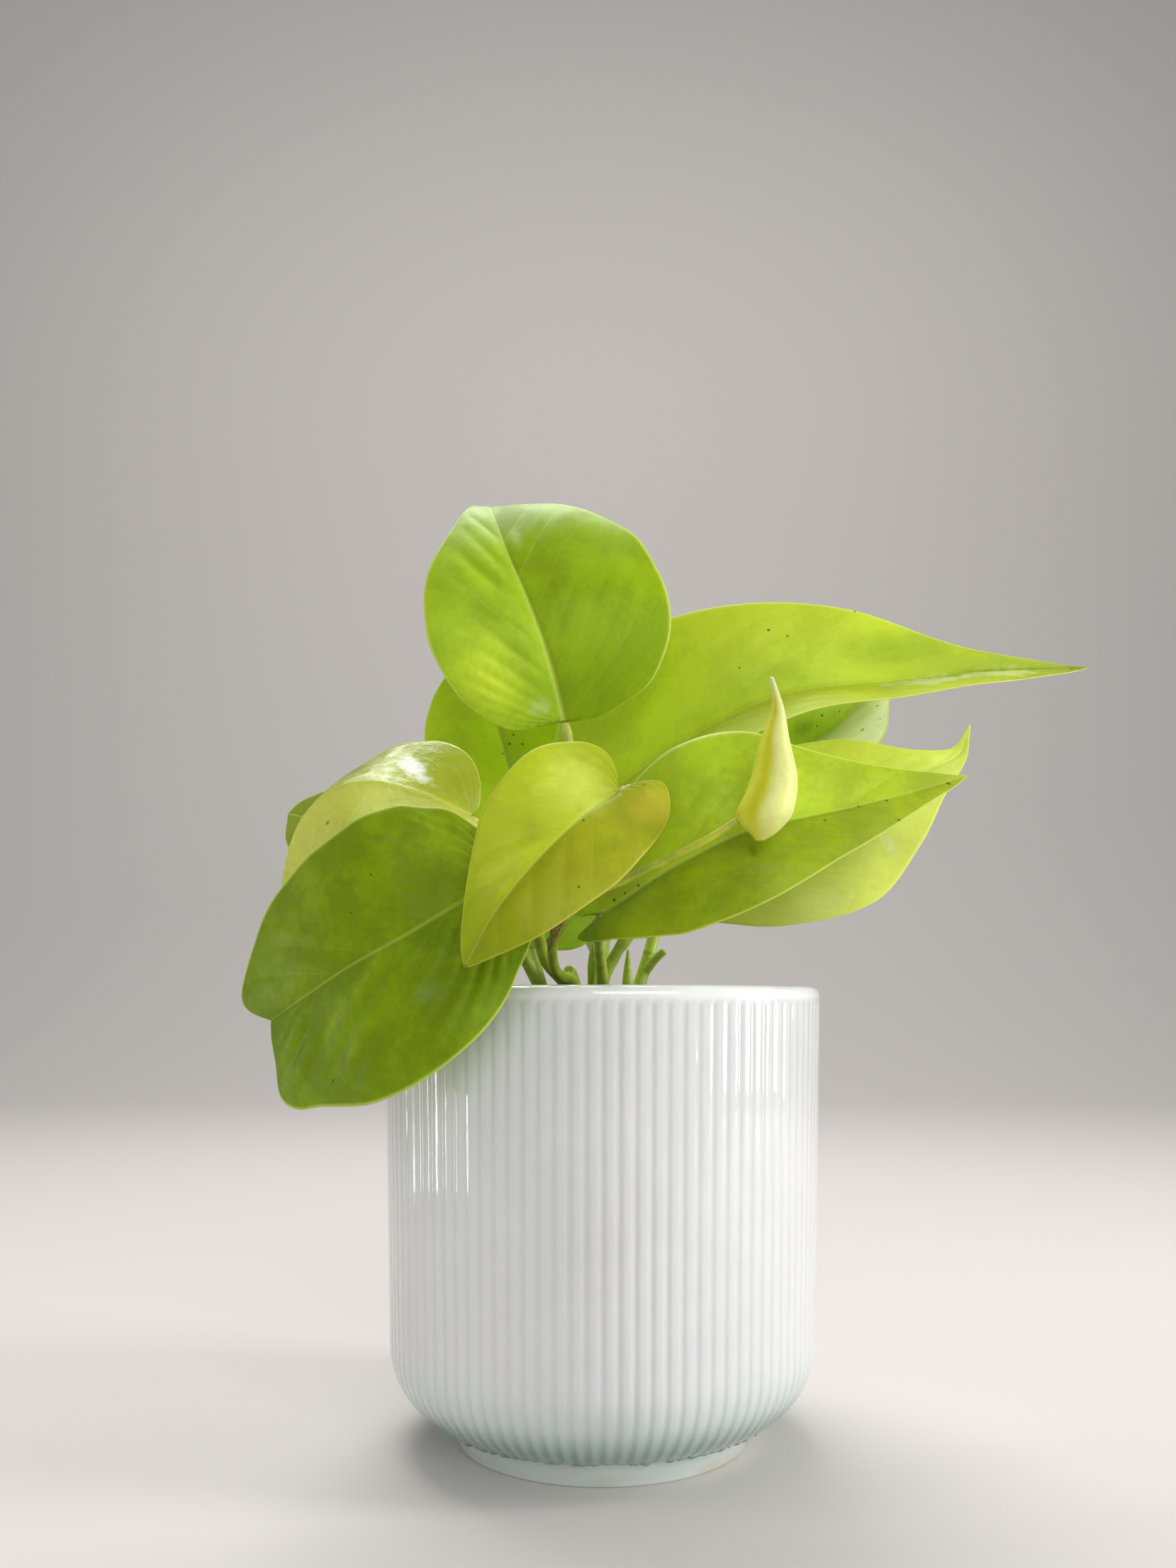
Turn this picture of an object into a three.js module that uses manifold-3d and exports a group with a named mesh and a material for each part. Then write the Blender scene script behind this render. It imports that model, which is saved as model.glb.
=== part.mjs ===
// A young lime-leaved golden pothos in a ribbed, white glazed pot.
//
// Units are millimetres. +Z is up, +X is to the viewer's right and the front faces -Y.
// The origin is the centre of the pot's foot, on the surface that the pot stands on.
//
// The plant is six rooted vines. Each vine is one solid: its stem with the petioles that
// grow from it. Every blade is a solid of its own, bent from a flat heart-shaped pattern
// along a midrib curve in space.

import * as THREE from "three";
import { mergeVertices } from "three/addons/utils/BufferGeometryUtils.js";
import Module from "manifold-3d";

const wasm = await Module();
wasm.setup();

// Driving dimensions

const POT_HEIGHT = 135;
const RIM_RADIUS = 65;
const WAIST_RADIUS = 63.7;
const WALL = 5;
const SHOULDER_HEIGHT = 30;
const SHOULDER_RADIUS = 24;
const FOOT_RADIUS = 44;
const FOOT_TOP_RADIUS = 46.5;
const FOOT_HEIGHT = 8.8;
const FOOT_BEVEL = 0.7;
const RIM_BAND = 3.4;
const RIM_ROUND = 2.5;
const SHOULDER_ROWS = [1, 0.68, 0.36, 0];
const RIM_ANGLES = [0, 30, 60, 90, 120, 150, 180];
const INSIDE_ANGLES = [0, 30, 60, 90];

const RIB_COUNT = 96;
const RIB_DEPTH = 0.9;
const RIB_FADE = 2.2;
const COLUMNS_PER_RIB = 3;

const SOIL_LEVEL = 121;
const SOIL_GAP = 0.45;
const SOIL_COLUMNS = 40;
const SOIL_BUMP = 1.1;
const SOIL_RINGS = [0.995, 0.85, 0.7, 0.52, 0.34, 0.17];

const ROOT_DEPTH = 26;
const STEM_SIDES = 8;
const HOLE_GAP = 0.4;

const BLADE_THICKNESS = 0.8;
const BLADE_ROWS = 14;
const BLADE_COLUMNS = 4;
const VEIN_SWEEP = 1.6;
const JOINT_GAP = 0.35;
const PETIOLE_RADIUS = 1.7;
const PETIOLE_TIP_RADIUS = 1.1;
const STEPS_PER_SPAN = 3;
const APPROACH_LENGTH = 5;
const APPROACH_DROP = 1.2;

const FINISH = {
  glaze: { color: 0xeef0ee, roughness: 0.15, metalness: 0 },
  soil: { color: 0x3a2a1e, roughness: 0.95, metalness: 0 },
  stem: { color: 0x8fae3c, roughness: 0.5, metalness: 0 },
  lime: { color: 0xa9cc3a, roughness: 0.35, metalness: 0 },
  green: { color: 0x78a01c, roughness: 0.35, metalness: 0 },
  cream: { color: 0xe4e58c, roughness: 0.4, metalness: 0 },
  dry: { color: 0x7a5a34, roughness: 0.8, metalness: 0 },
};

// Each blade is described by
//   midrib   points from the petiole joint to the tip
//   facing   the way the upper side looks, at the base and at the tip
//   left     half outline of the flat blade, as [across, along] from the joint to the tip
//   right    the other half, on the right when the tip points away and the face is up
//   fold     rise of each half from the midrib in degrees, [left, right], each [base, tip]
//   curl     further bend of each half from the midrib to its margin, in degrees

const BLADES = {
  leaf_top: {
    finish: "lime",
    midrib: [[-11, -20, 211.5], [-15, -25, 227], [-20.5, -26, 242.5], [-27, -21, 258.5],
      [-31, -13, 270.5], [-34, -3, 279.5], [-33, 6, 281.5]],
    facing: [[0, -1, 0.1], [0, -0.6, 0.8]],
    left: [[4, 0], [12.5, 0.5], [19, 3.5], [27, 13.5], [30.5, 29.5], [29, 40.5], [25, 50], [16, 62], [5, 82]],
    right: [[4, -1], [11.5, -1], [18, 1], [25, 3.5], [31, 9], [38, 19], [40, 32.5], [36.5, 58.5], [17, 78],
      [6, 83]],
    fold: [[6, 6], [6, 6]],
    curl: [-20, -20],
  },
  leaf_long_right: {
    finish: "lime",
    midrib: [[3.5, 5, 196], [23.5, -6, 208], [53.5, -12, 221], [86.5, -8, 226], [119, 2, 231.5],
      [153, 12, 235.5]],
    facing: [[0, -1, 0.1], [0, -1, 0.1]],
    left: [[7, -10], [20, -11], [30, 0], [36.3, 32], [27, 66.5], [19.5, 92], [7.5, 121], [2, 148]],
    right: [[4, -7], [12, -7], [18, 0], [24.5, 33], [22, 65], [15.5, 94], [12, 120], [5.5, 148]],
    fold: [[4, 4], [62, 50]],
    curl: [-12, 0],
  },
  leaf_back_right: {
    finish: "green",
    midrib: [[54.5, 28, 202], [68, 30, 214.5], [77, 31, 221], [87, 33, 231.5], [100.5, 36, 246]],
    facing: [[0, -1, 0.1], [0, -1, 0.1]],
    left: [[6, -7], [18, -7], [27, -0.5], [30.5, 10], [28, 24], [24, 38], [13, 51], [5, 59]],
    right: [[4, -5], [12, -4], [20, 0], [28, 15], [24, 29], [15, 40], [7, 50], [3, 58]],
    fold: [[8, 8], [52, 52]],
    curl: [-12, 0],
  },
  leaf_front_right: {
    finish: "lime",
    midrib: [[0.5, -52, 154], [5.5, -57, 157], [12.5, -62, 161.5], [23.5, -67, 167.5],
      [38.5, -68, 174], [64.5, -60, 180.5], [89.5, -50, 188], [97.5, -46, 191]],
    facing: [[0, -1, 0.35], [0, -1, 0.35]],
    left: [[4, -10], [9, -8], [14, 0], [20, 12], [26, 24], [29, 38], [27, 54], [19, 68], [8.5, 90],
      [3, 104]],
    right: [[1.5, -11], [4, -9.5], [6.5, -4], [9, 3], [14, 13], [18, 24], [19, 45], [12.5, 68], [6, 90],
      [2.5, 104]],
    fold: [[10, 10], [10, 10]],
    curl: [-20, -20],
  },
  leaf_lower_right: {
    finish: "lime",
    midrib: [[23, -15, 167.5], [30.5, -20, 171], [60.5, -25, 183.5], [92, -18, 197],
      [104.5, -12, 203], [108, -10, 210], [109, -9, 213]],
    facing: [[0, -1, 0.2], [0, -1, 0.2]],
    left: [[4, -7], [10, -7], [14, 0], [20, 16], [23.5, 33], [18.5, 58.5], [6.5, 80], [2, 97]],
    right: [[4, -7], [10, -7], [14, 0], [25.5, 22], [29.5, 47], [20, 66], [9, 81], [2, 95]],
    fold: [[8, 8], [8, 8]],
    curl: [-20, -20],
  },
  leaf_small_front: {
    finish: "lime",
    midrib: [[3.5, -72, 182], [-5, -82, 174.5], [-15, -88, 164], [-24.5, -92, 151.5],
      [-32, -90, 138.5]],
    facing: [[0, -1, 0.1], [0, -1, 0.1]],
    left: [[2, -10], [6, -13.5], [12, -7], [15, 1], [17, 13], [17.5, 24], [15, 37.5], [11, 48], [3, 59]],
    right: [[6, -5.5], [12, -6], [17, 0], [20, 14], [17.5, 29.5], [13.5, 37.5], [7, 49.5], [3, 58]],
    fold: [[10, 10], [10, 10]],
    curl: [-10, -10],
  },
  leaf_big_left: {
    finish: "green",
    midrib: [[-26.5, -58, 161.5], [-34.5, -64, 156.5], [-48, -67, 148], [-63.5, -62.5, 140], [-76, -54, 133],
      [-86.3, -46, 127.7], [-89.2, -43, 125.6]],
    facing: [[0, -1, 0.2], [-0.15, -1, 0.2]],
    left: [[5, -5], [10, -4], [16, 2], [28, 18.5], [34.5, 35], [34.5, 53.5], [28.5, 71], [25.5, 81],
      [20, 85.5], [11, 83.5], [5, 82.5]],
    right: [[6, -6], [16, -4], [26, 1], [33, 17], [34, 33.5], [31.5, 54], [28, 69.5], [21.5, 80], [12, 89.5],
      [6, 88.5]],
    fold: [[6, 6], [6, 6]],
    curl: [-16, -16],
  },
  leaf_glossy_left: {
    finish: "lime",
    midrib: [[-37, -28, 183], [-45.5, -32, 185.5], [-53, -34, 189], [-62.5, -36, 191],
      [-73, -36, 189.5], [-82.5, -33, 182.5], [-88, -29, 173], [-91, -26, 161.5]],
    facing: [[0, -0.9, 0.5], [-0.5, -0.9, 0.3]],
    left: [[3, -4], [8, -2], [10, 3], [14.5, 15], [18, 34], [16, 51.5], [10.5, 63.5], [5.5, 71]],
    right: [[4, -1.5], [11.5, -1], [20, 2.5], [23.5, 7], [23.5, 13.5], [24, 19], [20, 27.5], [12.5, 38],
      [7, 52.5], [3, 66]],
    fold: [[-15, -15], [5, -75]],
    curl: [-10, -10],
  },
  leaf_far_left: {
    finish: "green",
    midrib: [[-52.5, -10, 177.5], [-69, -12, 180.5], [-83.5, -12, 184], [-93.5, -8, 186.5]],
    facing: [[0, -1, 0.3], [0, -1, 0.3]],
    left: [[3, -4], [6, -4], [8, 0], [9, 9], [12, 18], [13, 25], [12, 34], [8, 39]],
    right: [[3, -4], [6, -4], [8, 0], [10.5, 10.5], [12.5, 18], [11.5, 26], [9.5, 33], [5, 40]],
    fold: [[8, 8], [8, 8]],
    curl: [-10, -10],
  },
  leaf_mid_back: {
    finish: "green",
    midrib: [[-26, 18, 190], [-30, 22, 206.5], [-35.5, 26, 226], [-42.5, 32, 250.5]],
    facing: [[0, -1, 0.1], [0, -1, 0.1]],
    left: [[4, -7], [11, -6], [17, 1], [21.5, 12], [24, 26], [23.5, 36], [18, 47], [9, 56]],
    right: [[4, -7], [11, -7], [16, 0], [25, 13], [26, 25], [19, 38], [10, 50], [4, 58]],
    fold: [[8, 8], [8, 8]],
    curl: [-15, -15],
  },
  leaf_tiny_low: {
    finish: "green",
    midrib: [[0, -15, 157.5], [-10.5, -18, 152], [-22, -18, 146.5]],
    facing: [[0, -1, 0.3], [0, -1, 0.3]],
    left: [[1, -2.5], [3, -2.5], [4, 0], [6, 5], [7, 10], [6.5, 14], [4, 19], [2, 22]],
    right: [[1, -2.5], [3, -2.5], [4, 0], [5, 5], [5, 10], [4, 14], [2.5, 19], [1.5, 22]],
    fold: [[8, 8], [8, 8]],
    curl: [-10, -10],
    rows: 8,
    columns: 2,
  },

};

// The newest leaf is still rolled up. Its sections are level, from the foot to the point,
// each given as [x, y, z, radius], and the roll overlaps itself along one seam.
const FURLED_LEAF = {
  name: "leaf_furled",
  finish: "cream",
  sections: [[38, -77, 169.6, 0.9], [38.7, -77, 171.1, 2.9], [38.7, -77, 173.7, 5.7],
    [39.1, -77, 176.3, 7], [40.8, -77, 181.5, 6.3], [41.6, -76.5, 186.6, 5.45],
    [41.8, -76, 194.5, 3.55], [42.6, -75, 202.1, 1.64], [41.3, -74, 209.9, 0.5]],
  sides: 12,
  seam: 260,
  overlap: 0.15,
  joint: [32.5, -77.2, 174.6],
};

// Each vine is a stem, given from under the soil upward, and limbs that leave it. A limb's
// first point lies inside the stem. A petiole ends at its blade's joint, and a limb with
// no blade ends at its last point.
const VINES = {
  vine_left: {
    stem: { path: [[-15, -7, SOIL_LEVEL], [-19, -9, 137], [-22, -10, 150]], radii: [2.5, 2.3, 1.7] },
    limbs: [
      { blade: "leaf_big_left", path: [[-18.5, -8.8, 135], [-24, -13, 146], [-27, -24, 154],
        [-26, -42, 161]] },
      { blade: "leaf_glossy_left", path: [[-21, -9.7, 146], [-27, -16, 165], [-32, -24, 178]] },
      { blade: "leaf_far_left", path: [[-21.5, -9.9, 148], [-32, -9, 165], [-44, -8, 175]] },
    ],
  },
  vine_front: {
    stem: { path: [[-5.5, -11, SOIL_LEVEL], [-8.5, -12, 137], [-10, -16, 140]], radii: [2.1, 2, 1.6] },
    limbs: [
      { blade: "leaf_small_front", path: [[-6.5, -11.5, 127], [-11, -15, 136], [-16.5, -22, 143],
        [-18, -34, 154], [-15, -50, 168], [-8, -64, 178]] },
      { blade: "leaf_furled", path: [[-8.5, -12, 137], [-12, -24, 138], [-13.5, -36, 141],
        [-13, -48, 146.5], [-9, -58, 152.5], [-3, -65, 157.5], [5.5, -68, 161], [12.5, -70, 164],
        [19, -73, 167], [25.5, -76.5, 170]], radius: 1.5 },
    ],
  },
  vine_centre: {
    stem: { path: [[-3.5, -3, SOIL_LEVEL], [-2.5, -4, 136], [-0.5, -4, 149]], radii: [2.4, 2.2, 1.9] },
    limbs: [
      { blade: "leaf_top", path: [[-1, -4, 145], [-3, -4, 170], [-8, -9, 195]], radius: 1.9 },
      { blade: "leaf_tiny_low", path: [[-2.8, -3.8, 133], [-3, -9, 143], [0, -11, 153]], radius: 1.3 },
    ],
  },
  vine_back: {
    stem: { path: [[0, 8, SOIL_LEVEL], [0, 8, 140], [1, 9, 158]], radii: [2.4, 2.2, 1.8] },
    limbs: [
      { blade: "leaf_long_right", path: [[0.5, 8.5, 150], [3, 11, 170], [1, 12, 186]], radius: 1.9 },
      { blade: "leaf_mid_back", path: [[0, 8, 142], [-9, 14, 160], [-21, 21, 178]] },
    ],
  },
  vine_right: {
    stem: { path: [[-0.5, -9.5, SOIL_LEVEL], [0, -10, 136], [6.3, -10, 149]], radii: [1.8, 1.8, 1.7] },
    limbs: [
      { blade: "leaf_lower_right", path: [[5.5, -10, 147], [13, -10.5, 158]] },
      { blade: "leaf_front_right", path: [[-0.3, -9.8, 127], [0, -17, 136], [-1, -32, 145.5],
        [-1.2, -44, 150]] },
    ],
  },
  vine_outer: {
    stem: { path: [[8, -4, SOIL_LEVEL], [11, -3.5, 135], [15, -1, 148]], radii: [2, 2, 1.8] },
    limbs: [
      { blade: "leaf_back_right", path: [[14, -2, 145], [19, 3, 160], [32, 14, 178], [45, 24, 192]] },
      { path: [[9.5, -4, 127], [7.6, -6, 136], [7.6, -6, 146.5]], radii: [1.6, 1.7, 0.4] },
      { path: [[12.5, -3, 139], [15.5, -5, 143], [18.6, -6, 146]], radii: [1.4, 1.3, 1.2] },
    ],
  },
};

// A dead sheath clings to the front of one petiole, between two shares of its length.
const SHEATH = {
  name: "dry_sheath",
  finish: "dry",
  petiole: VINES.vine_front.limbs[1],
  from: 0.36,
  to: 0.52,
  points: 4,
  blade: {
    facing: [[0, -1, 0.2], [0, -1, 0.2]],
    left: [[1, 0.5], [1.6, 3], [1.3, 8]],
    right: [[1, 0.5], [1.6, 3], [1.3, 8]],
    fold: [[-6, -6], [-6, -6]],
    curl: [-20, -20],
    rows: 6,
    columns: 1,
  },
};

const DEGREE = Math.PI / 180;

// A closed skin, grown ring by ring. Rings turn anticlockwise seen from where they lead.
class Skin {
  constructor() {
    this.positions = [];
    this.faces = [];
    this.last = null;
  }

  point(p) {
    this.positions.push(p.x, p.y, p.z);
    return this.positions.length / 3 - 1;
  }

  // Joins a new ring to the last one. One ring may have a whole number of times the
  // points of the other, and a ring of one point opens or closes the skin.
  ring(points) {
    const next = points.map((p) => this.point(p));
    if (this.last) {
      this.bridge(this.last, next);
    }
    this.last = next;
    return this;
  }

  bridge(a, b) {
    const count = Math.max(a.length, b.length);
    const stepA = a.length === 1 ? 0 : count / a.length;
    const stepB = b.length === 1 ? 0 : count / b.length;
    const indexA = (i) => (stepA === 0 ? a[0] : a[Math.floor((i % count) / stepA)]);
    const indexB = (i) => (stepB === 0 ? b[0] : b[Math.floor((i % count) / stepB)]);
    for (let i = 0; i < count; i += 1) {
      const [a0, a1] = [indexA(i), indexA(i + 1)];
      const [b0, b1] = [indexB(i), indexB(i + 1)];
      if (a0 !== a1) {
        this.faces.push(a0, a1, b0);
      }
      if (b0 !== b1) {
        this.faces.push(a1, b1, b0);
      }
    }
  }

  geometry() {
    const geometry = new THREE.BufferGeometry();
    geometry.setAttribute("position", new THREE.Float32BufferAttribute(this.positions, 3));
    geometry.setIndex(this.faces);
    return geometry;
  }
}

function vector(p) {
  return new THREE.Vector3(...p);
}

function circle(count, radius, height, wobble = () => 0) {
  const points = [];
  for (let i = 0; i < count; i += 1) {
    const angle = (2 * Math.PI * i) / count;
    const r = radius + wobble(i);
    points.push(new THREE.Vector3(r * Math.cos(angle), r * Math.sin(angle), height));
  }
  return points;
}

// Booleans

function toManifold(geometry) {
  const bare = geometry.clone();
  bare.deleteAttribute("normal");
  bare.deleteAttribute("uv");
  const merged = mergeVertices(bare, 1e-5);
  const mesh = new wasm.Mesh({
    numProp: 3,
    vertProperties: Float32Array.from(merged.attributes.position.array),
    triVerts: Uint32Array.from(merged.index.array),
  });
  return new wasm.Manifold(mesh);
}

function toGeometry(manifold) {
  const mesh = manifold.getMesh();
  const geometry = new THREE.BufferGeometry();
  const positions = [];
  for (let i = 0; i < mesh.numVert; i += 1) {
    for (let k = 0; k < 3; k += 1) {
      positions.push(mesh.vertProperties[i * mesh.numProp + k]);
    }
  }
  geometry.setAttribute("position", new THREE.Float32BufferAttribute(positions, 3));
  geometry.setIndex(Array.from(mesh.triVerts));
  return geometry;
}

// Pot

// Outer or inner radius of the round shoulder, inset from the outside by the given wall.
function shoulderPoint(angle, inset) {
  const arc = SHOULDER_RADIUS - inset;
  return {
    radius: WAIST_RADIUS - SHOULDER_RADIUS + arc * Math.cos(angle),
    height: SHOULDER_HEIGHT - arc * Math.sin(angle),
  };
}

function potGeometry() {
  const coarse = RIB_COUNT;
  const fine = RIB_COUNT * COLUMNS_PER_RIB;
  const groove = (depth) => (i) => (i % COLUMNS_PER_RIB === 0 ? -depth : 0);
  const skin = new Skin();
  skin.ring([new THREE.Vector3(0, 0, 0)]);
  skin.ring(circle(coarse, FOOT_RADIUS - FOOT_BEVEL, 0));
  skin.ring(circle(coarse, FOOT_RADIUS, FOOT_BEVEL));
  skin.ring(circle(coarse, FOOT_TOP_RADIUS, FOOT_HEIGHT - FOOT_BEVEL));

  const drop = Math.asin((SHOULDER_HEIGHT - FOOT_HEIGHT) / SHOULDER_RADIUS);
  for (const share of SHOULDER_ROWS) {
    const { radius, height } = shoulderPoint(drop * share, 0);
    skin.ring(circle(fine, radius, height, groove(RIB_DEPTH)));
  }
  const bandBottom = POT_HEIGHT - RIM_BAND;
  skin.ring(circle(fine, RIM_RADIUS, bandBottom - RIB_FADE, groove(RIB_DEPTH)));
  skin.ring(circle(fine, RIM_RADIUS, bandBottom));

  const lip = RIM_RADIUS - RIM_ROUND;
  for (const angle of RIM_ANGLES) {
    const radius = lip + RIM_ROUND * Math.cos(angle * DEGREE);
    const height = POT_HEIGHT - RIM_ROUND + RIM_ROUND * Math.sin(angle * DEGREE);
    skin.ring(circle(coarse, radius, height));
  }

  for (const angle of INSIDE_ANGLES) {
    const { radius, height } = shoulderPoint(angle * DEGREE, WALL);
    skin.ring(circle(coarse, radius, height));
  }
  skin.ring([new THREE.Vector3(0, 0, shoulderPoint(Math.PI / 2, WALL).height)]);
  return skin.geometry();
}

// Soil

function soilHeight(x, y) {
  const swell = Math.sin(0.11 * x + 0.6) * Math.cos(0.13 * y - 0.3);
  const lumps = Math.sin(0.42 * x + 0.31 * y) * Math.sin(0.37 * y - 0.29 * x + 1.1);
  return SOIL_LEVEL + SOIL_BUMP * (swell + 0.6 * lumps);
}

function soilBody() {
  const inset = WALL + SOIL_GAP;
  const skin = new Skin();
  skin.ring([new THREE.Vector3(0, 0, shoulderPoint(Math.PI / 2, inset).height)]);
  for (const angle of INSIDE_ANGLES.toReversed()) {
    const { radius, height } = shoulderPoint(angle * DEGREE, inset);
    skin.ring(circle(SOIL_COLUMNS, radius, height));
  }
  for (const share of SOIL_RINGS) {
    const ring = circle(SOIL_COLUMNS, (RIM_RADIUS - inset) * share, 0);
    ring.forEach((p) => p.setZ(soilHeight(p.x, p.y)));
    skin.ring(ring);
  }
  skin.ring([new THREE.Vector3(0, 0, soilHeight(0, 0))]);
  return skin.geometry();
}

// Blades

// A midrib that can be read at any distance from the joint, and runs on straight past it.
class Midrib {
  constructor(points) {
    this.curve = new THREE.CatmullRomCurve3(points.map(vector), false, "catmullrom", 0.5);
    this.length = this.curve.getLength();
  }

  at(distance) {
    const share = THREE.MathUtils.clamp(distance / this.length, 0, 1);
    const tangent = this.curve.getTangentAt(share);
    const beyond = distance - share * this.length;
    const position = this.curve.getPointAt(share).addScaledVector(tangent, beyond);
    return { share, position, tangent };
  }
}

// Local frame on the blade: along the midrib, up from its face and across to the right.
function bladeFrame(blade, midrib, distance) {
  const { share, position, tangent } = midrib.at(distance);
  const up = vector(blade.facing[0]).lerp(vector(blade.facing[1]), share);
  up.addScaledVector(tangent, -up.dot(tangent)).normalize();
  const across = new THREE.Vector3().crossVectors(tangent, up);
  return { share, position, tangent, up, across };
}

// Bends one point of the flat blade into space. side is 0 on the left and 1 on the right.
function bendPoint(blade, midrib, side, across, along) {
  const frame = bladeFrame(blade, midrib, along);
  const [foldBase, foldTip] = blade.fold[side];
  const fold = THREE.MathUtils.lerp(foldBase, foldTip, frame.share) * DEGREE;
  const widest = Math.max(...(side === 0 ? blade.left : blade.right).map((p) => p[0]));
  const bend = (blade.curl[side] * DEGREE) / widest;
  let reach = Math.cos(fold) * across;
  let rise = Math.sin(fold) * across;
  if (Math.abs(bend * across) > 1e-6) {
    reach = (Math.sin(fold + bend * across) - Math.sin(fold)) / bend;
    rise = (Math.cos(fold) - Math.cos(fold + bend * across)) / bend;
  }
  const sign = side === 0 ? -1 : 1;
  return frame.position.clone()
    .addScaledVector(frame.across, sign * reach)
    .addScaledVector(frame.up, rise);
}

// Evenly spaced points of a half outline, from the joint round the lobe to the tip.
function halfOutline(half, length, rows) {
  const points = [[0, 0], ...half, [0, length]].map(([x, y]) => new THREE.Vector3(x, y, 0));
  const curve = new THREE.CatmullRomCurve3(points, false, "catmullrom", 0.5);
  curve.arcLengthDivisions = 400;
  return curve.getSpacedPoints(rows).map((p) => [Math.max(p.x, 0), p.y]);
}

// Mid-surface of a blade: a grid of rows that run from the midrib out to both margins.
function bladeGrid(blade) {
  const rows = blade.rows ?? BLADE_ROWS;
  const columns = blade.columns ?? BLADE_COLUMNS;
  const midrib = new Midrib(blade.midrib);
  const outlines = [blade.left, blade.right].map((half) => halfOutline(half, midrib.length, rows));
  const grid = [[bendPoint(blade, midrib, 0, 0, 0)]];
  for (let i = 1; i < rows; i += 1) {
    const root = midrib.length * (i / rows) ** VEIN_SWEEP;
    const row = [];
    for (let j = -columns; j <= columns; j += 1) {
      const side = j < 0 ? 0 : 1;
      const share = Math.abs(j) / columns;
      const [x, y] = outlines[side][i];
      row.push(bendPoint(blade, midrib, side, x * share, THREE.MathUtils.lerp(root, y, share)));
    }
    grid.push(row);
  }
  grid.push([bendPoint(blade, midrib, 0, 0, midrib.length)]);
  return grid;
}

// Triangles of a grid whose first and last rows are single points.
function gridFaces(grid) {
  const start = [];
  let total = 0;
  for (const row of grid) {
    start.push(total);
    total += row.length;
  }
  const faces = [];
  for (let i = 0; i + 1 < grid.length; i += 1) {
    const [near, far] = [grid[i].length, grid[i + 1].length];
    for (let j = 0; j + 1 < Math.max(near, far); j += 1) {
      const a = start[i] + Math.min(j, near - 1);
      const b = start[i] + Math.min(j + 1, near - 1);
      const c = start[i + 1] + Math.min(j + 1, far - 1);
      const d = start[i + 1] + Math.min(j, far - 1);
      if (a !== b) {
        faces.push([a, b, c]);
      }
      if (c !== d) {
        faces.push([a, c, d]);
      }
    }
  }
  return faces;
}

// Gives an open sheet of triangles a thickness, with walls along its border.
function thicken(points, faces, thickness) {
  const normals = points.map(() => new THREE.Vector3());
  for (const [a, b, c] of faces) {
    const u = points[b].clone().sub(points[a]);
    const v = points[c].clone().sub(points[a]);
    const normal = u.cross(v);
    [a, b, c].forEach((k) => normals[k].add(normal));
  }
  normals.forEach((n) => n.normalize());
  const positions = [];
  for (const half of [thickness / 2, -thickness / 2]) {
    points.forEach((p, k) => positions.push(...p.clone().addScaledVector(normals[k], half)));
  }
  const edges = new Set();
  for (const [a, b, c] of faces) {
    [[a, b], [b, c], [c, a]].forEach(([p, q]) => edges.add(`${p},${q}`));
  }
  const under = points.length;
  const index = [];
  for (const [a, b, c] of faces) {
    index.push(a, b, c, under + a, under + c, under + b);
  }
  for (const edge of edges) {
    const [p, q] = edge.split(",").map(Number);
    if (!edges.has(`${q},${p}`)) {
      index.push(q, p, under + p, q, under + p, under + q);
    }
  }
  const geometry = new THREE.BufferGeometry();
  geometry.setAttribute("position", new THREE.Float32BufferAttribute(positions, 3));
  geometry.setIndex(index);
  return geometry;
}

function bladeGeometry(blade) {
  const grid = bladeGrid(blade);
  return thicken(grid.flat(), gridFaces(grid), BLADE_THICKNESS);
}

// A tapering round limb along a curve, with flat ends.
function limb(points, radii, steps) {
  const curve = new THREE.CatmullRomCurve3(points, false, "catmullrom", 0.5);
  const frames = curve.computeFrenetFrames(steps, false);
  const skin = new Skin();
  skin.ring([curve.getPointAt(0)]);
  for (let i = 0; i <= steps; i += 1) {
    const share = (i / steps) * (radii.length - 1);
    const k = Math.min(Math.floor(share), radii.length - 2);
    const radius = THREE.MathUtils.lerp(radii[k], radii[k + 1], share - k);
    const centre = curve.getPointAt(i / steps);
    const ring = [];
    for (let j = 0; j < STEM_SIDES; j += 1) {
      const angle = (2 * Math.PI * j) / STEM_SIDES;
      ring.push(centre.clone()
        .addScaledVector(frames.normals[i], radius * Math.cos(angle))
        .addScaledVector(frames.binormals[i], radius * Math.sin(angle)));
    }
    skin.ring(ring);
  }
  skin.ring([curve.getPointAt(1)]);
  return skin.geometry();
}

// The radius falls slowly round the roll and steps back out at the seam.
function furledGeometry(leaf) {
  const skin = new Skin();
  const [first, last] = [leaf.sections[0], leaf.sections[leaf.sections.length - 1]];
  skin.ring([vector(first)]);
  for (const [x, y, z, radius] of leaf.sections) {
    const ring = [];
    for (let j = 0; j < leaf.sides; j += 1) {
      const turn = j / leaf.sides;
      const angle = (leaf.seam + 360 * turn) * DEGREE;
      const r = radius * (1 - leaf.overlap * turn ** 3);
      ring.push(new THREE.Vector3(x + r * Math.cos(angle), y + r * Math.sin(angle), z));
    }
    skin.ring(ring);
  }
  skin.ring([vector(last)]);
  return skin.geometry();
}

// Vines

// The last two points of a petiole, which comes up under its blade and ends just clear of
// the underside at the joint.
function petioleEnd(bladeName) {
  if (bladeName === FURLED_LEAF.name) {
    return [vector(FURLED_LEAF.joint)];
  }
  const blade = BLADES[bladeName];
  const { position, tangent, up } = bladeFrame(blade, new Midrib(blade.midrib), 0);
  const depth = BLADE_THICKNESS / 2 + JOINT_GAP + PETIOLE_TIP_RADIUS;
  const end = position.addScaledVector(up, -depth);
  const approach = end.clone()
    .addScaledVector(tangent, -APPROACH_LENGTH)
    .addScaledVector(up, -APPROACH_DROP);
  return [approach, end];
}

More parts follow.
